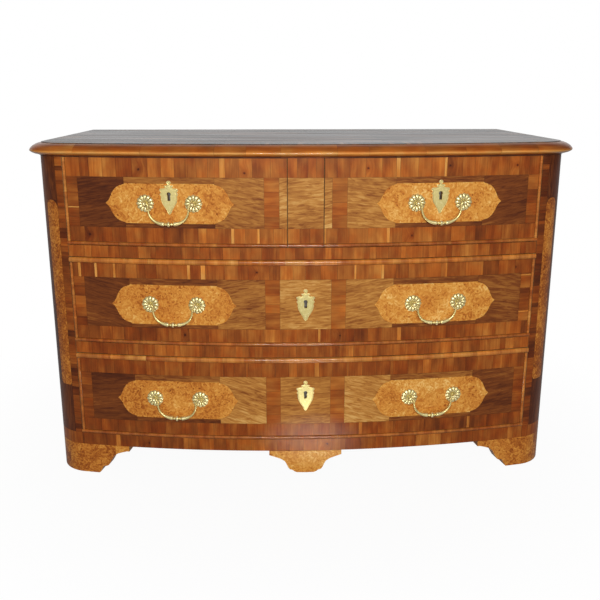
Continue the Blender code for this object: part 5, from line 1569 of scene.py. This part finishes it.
# Rosette from its middle out to its rim: (share of its radius, of its height, how far petals show)
ROSETTE_SECTION = [(0.01, 0.95, 0.0), (0.12, 0.93, 0.0), (0.20, 0.84, 0.0), (0.24, 0.62, 0.1),
                   (0.27, 0.50, 0.3), (0.31, 0.58, 0.8), (0.37, 0.70, 1.0), (0.45, 0.81, 1.0),
                   (0.54, 0.90, 1.0), (0.63, 0.95, 1.0), (0.72, 0.94, 1.0), (0.80, 0.86, 1.0),
                   (0.87, 0.74, 1.0), (0.93, 0.57, 1.0), (0.97, 0.38, 1.0), (1.00, 0.12, 1.0),
                   (0.985, 0.0, 1.0), (0.5, 0.0, 0.3), (0.01, 0.0, 0.0)]
PETAL_POWER = 2.6
# Shares of its height and of its reach that a petal loses at the groove beside it
GROOVE_DEPTH = 0.60
GROOVE_NOTCH = 0.16
# Wear of the cast brass: a petal's crown, how much darker the grooves and the ring about the boss are,
# the neck, the ball, and the bail where it is thin and how much brighter it is where it is thick
PETAL_WEAR = 0.93
GROOVE_DIRT = 0.58
BOSS_RING_DIRT = 0.35
BOSS_RING_SHARE = 0.26
BOSS_RING_HALF = 0.03
NECK_WEAR = 0.60
BALL_WEAR = 0.92
BAIL_WEAR = 0.78
BAIL_SHINE = 0.16
# Neck from the boss to the ball: (millimetres out of the front, radius in millimetres)
NECK_SECTION = [(4.5, 4.2), (5.2, 4.0), (6.2, 3.1), (7.6, 2.6), (9.0, 2.7), (10.2, 3.1), (10.7, 3.0)]
# Bail from its middle to its arm: (millimetres along it, radius in millimetres), and from the pin back
BAIL_TURNING = [(0.0, 6.5), (1.6, 6.4), (2.4, 5.6), (3.0, 2.9), (4.2, 2.4), (5.2, 3.1), (6.4, 3.8),
                (7.6, 3.5), (8.6, 2.5), (9.8, 2.4), (10.6, 3.4), (11.6, 4.7), (13.4, 5.0), (17.0, 4.7),
                (23.0, 4.1), (31.0, 3.2), (42.0, 2.5), (55.0, 2.2)]
BAIL_COLLARS = [(24.0, 2.0), (22.0, 2.2), (21.0, 3.2), (19.6, 3.2), (18.8, 2.2), (18.0, 3.5),
                (16.2, 3.6), (15.4, 2.4), (0.0, 2.4)]


def rosette_points():
    """A rosette with round-ended petals: rings from the boss out over the petals and back underneath.

    Across a petal, from -1 to 1, its height falls as a superellipse does, and so does the reach of its
    rim. A petal stands upright above the middle, and dirt stays in the grooves.
    """
    angle = np.linspace(0, 2 * math.pi, PETALS * PETAL_STEPS, endpoint=False)
    across = 2 * ((angle * PETALS / (2 * math.pi) + 0.5) % 1) - 1
    bulge = (1 - 0.97 * np.abs(across) ** PETAL_POWER) ** (1 / PETAL_POWER)
    share, rise, petal = (np.array(part)[:, None] for part in zip(*ROSETTE_SECTION))
    radius = ROSETTE_RADIUS * share * (1 - GROOVE_NOTCH * petal * share ** 4 * (1 - bulge))
    out = ROSETTE_SEAT + ROSETTE_HEIGHT * rise * (1 - GROOVE_DEPTH * petal * (1 - bulge))
    in_ring = np.abs(share - BOSS_RING_SHARE) < BOSS_RING_HALF
    wear = PETAL_WEAR - GROOVE_DIRT * petal * np.abs(across) ** 8 - BOSS_RING_DIRT * in_ring + 0 * radius
    return np.stack([radius * np.cos(angle), -out, radius * np.sin(angle)], -1), wear


def neck_points():
    """Waisted neck from the boss to the ball, turned about the way out of the front."""
    turn = np.linspace(0, 2 * math.pi, NECK_CORNERS, endpoint=False)
    out, radius = (np.array(side)[:, None] / 1000 for side in zip(*NECK_SECTION))
    return np.stack([radius * np.cos(turn), -out + 0 * turn, radius * np.sin(turn)], -1)


def ball_points():
    """Ball pierced along the bail's pin: an arc from hole to hole, then back through it, turned about X."""
    lip = math.asin(PIN_HOLE / BALL_RADIUS)
    arc = np.linspace(lip, math.pi - lip, BALL_ARC_STEPS)
    through = BALL_RADIUS * np.cos(lip) * np.array([-0.6, 0.0, 0.6])
    x = np.concatenate([BALL_RADIUS * np.cos(arc), through])
    radius = np.concatenate([BALL_RADIUS * np.sin(arc), np.full(len(through), PIN_HOLE)])
    turn = np.linspace(0, 2 * math.pi, BALL_CORNERS, endpoint=False)[:, None]
    return np.stack([x + 0 * turn, -HINGE_STANDOFF + radius * np.cos(turn), radius * np.sin(turn)], -1)


def bail_points():
    """Bail: rings along a rounded U and round a bend into each pin, square to the way the path runs."""
    turn = np.linspace(0, math.pi / 2, BAIL_PATH_STEPS)
    bend = np.linspace(0, math.pi / 2, BAIL_BEND_STEPS)[1:]
    x = np.concatenate([BAIL_HALF * np.sin(turn) ** BAIL_POWER,
                        BAIL_HALF + BAIL_BEND * (1 - np.cos(bend)),
                        [HANDLE_SPAN / 2, HANDLE_SPAN / 2 + PIN_TIP]])
    z = np.concatenate([-BAIL_BEND - (BAIL_DROP - BAIL_BEND) * np.clip(np.cos(turn), 0, 1) ** BAIL_POWER,
                        -BAIL_BEND * (1 - np.sin(bend)), [0.0, 0.0]])
    run = np.concatenate([[0], np.cumsum(np.hypot(np.diff(x), np.diff(z)))])
    turned = [(along / 1000, radius / 1000) for along, radius in BAIL_TURNING]
    turned += [(run[-1] - along / 1000, radius / 1000) for along, radius in BAIL_COLLARS]
    places, radii = zip(*turned)
    stations = np.unique(np.concatenate([np.linspace(0, run[-1], BAIL_RINGS), places]))
    x, z = np.interp(stations, run, x), np.interp(stations, run, z)
    radius = np.interp(stations, places, radii)
    x, z = np.concatenate([-x[:0:-1], x]), np.concatenate([z[:0:-1], z])
    radius = np.concatenate([radius[:0:-1], radius])
    way = np.stack([np.gradient(x), np.gradient(z)], -1)
    way /= np.linalg.norm(way, axis=1, keepdims=True)
    ring = np.linspace(0, 2 * math.pi, BAIL_CORNERS, endpoint=False)
    points = np.stack([x[:, None] - way[:, 1:] * radius[:, None] * np.cos(ring),
                       -HINGE_STANDOFF + radius[:, None] * np.sin(ring),
                       z[:, None] + way[:, :1] * radius[:, None] * np.cos(ring)], -1)
    wear = BAIL_WEAR + BAIL_SHINE * (radius / radius.max())[:, None] + 0 * ring
    return points, wear


def brass_bar(points, wear, x, z, ring=False):
    """A brass form set on the front, with its wear as its marks."""
    marks = np.zeros(points.shape[:2] + (4,))
    marks[..., 0] = wear
    return {"points": front_place(points, x, z), "leaf": marks, "ring": ring}


def hang_handle(name, drawer, x, z):
    """One handle: two rosettes with their balls on the drawer, and the bail that swings between them."""
    petals, petal_wear = rosette_points()
    for side_name, hand in SIDES:
        step = hand * HANDLE_SPAN / 2
        seat_x = x + step * math.cos(bow_angle(x))
        shift = np.array([step, 0.0, 0.0])
        bars = [brass_bar(petals, petal_wear, seat_x, z),
                brass_bar(neck_points() + shift, NECK_WEAR, x, z),
                brass_bar(ball_points() + shift, BALL_WEAR, x, z, ring=True)]
        rosette = put_together(f"{name}_{side_name}_petalled_rosette", bars, gilt_brass, drawer,
                               HANDLE_SHARP_DEGREES)
        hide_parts(f"{name}_{side_name}_rosette")
    points, wear = bail_points()
    swinging = put_together(f"{name}_turned_bail", [brass_bar(points, wear, x, z)], gilt_brass,
                            f"{name}_bail", HANDLE_SHARP_DEGREES)
    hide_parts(f"{name}_bail")


for drawer in DRAWER_NAMES:
    short = drawer.startswith("top_")
    for side_name, hand in SIDES:
        if short and side_name not in drawer:
            continue
        name = drawer.replace("_drawer", "") + ("" if short else f"_{side_name}")
        seat_low, seat_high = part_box(f"{name}_left_rosette")
        hang_handle(name, drawer, hand * HANDLE_PLACE, (seat_low.z + seat_high.z) / 2)
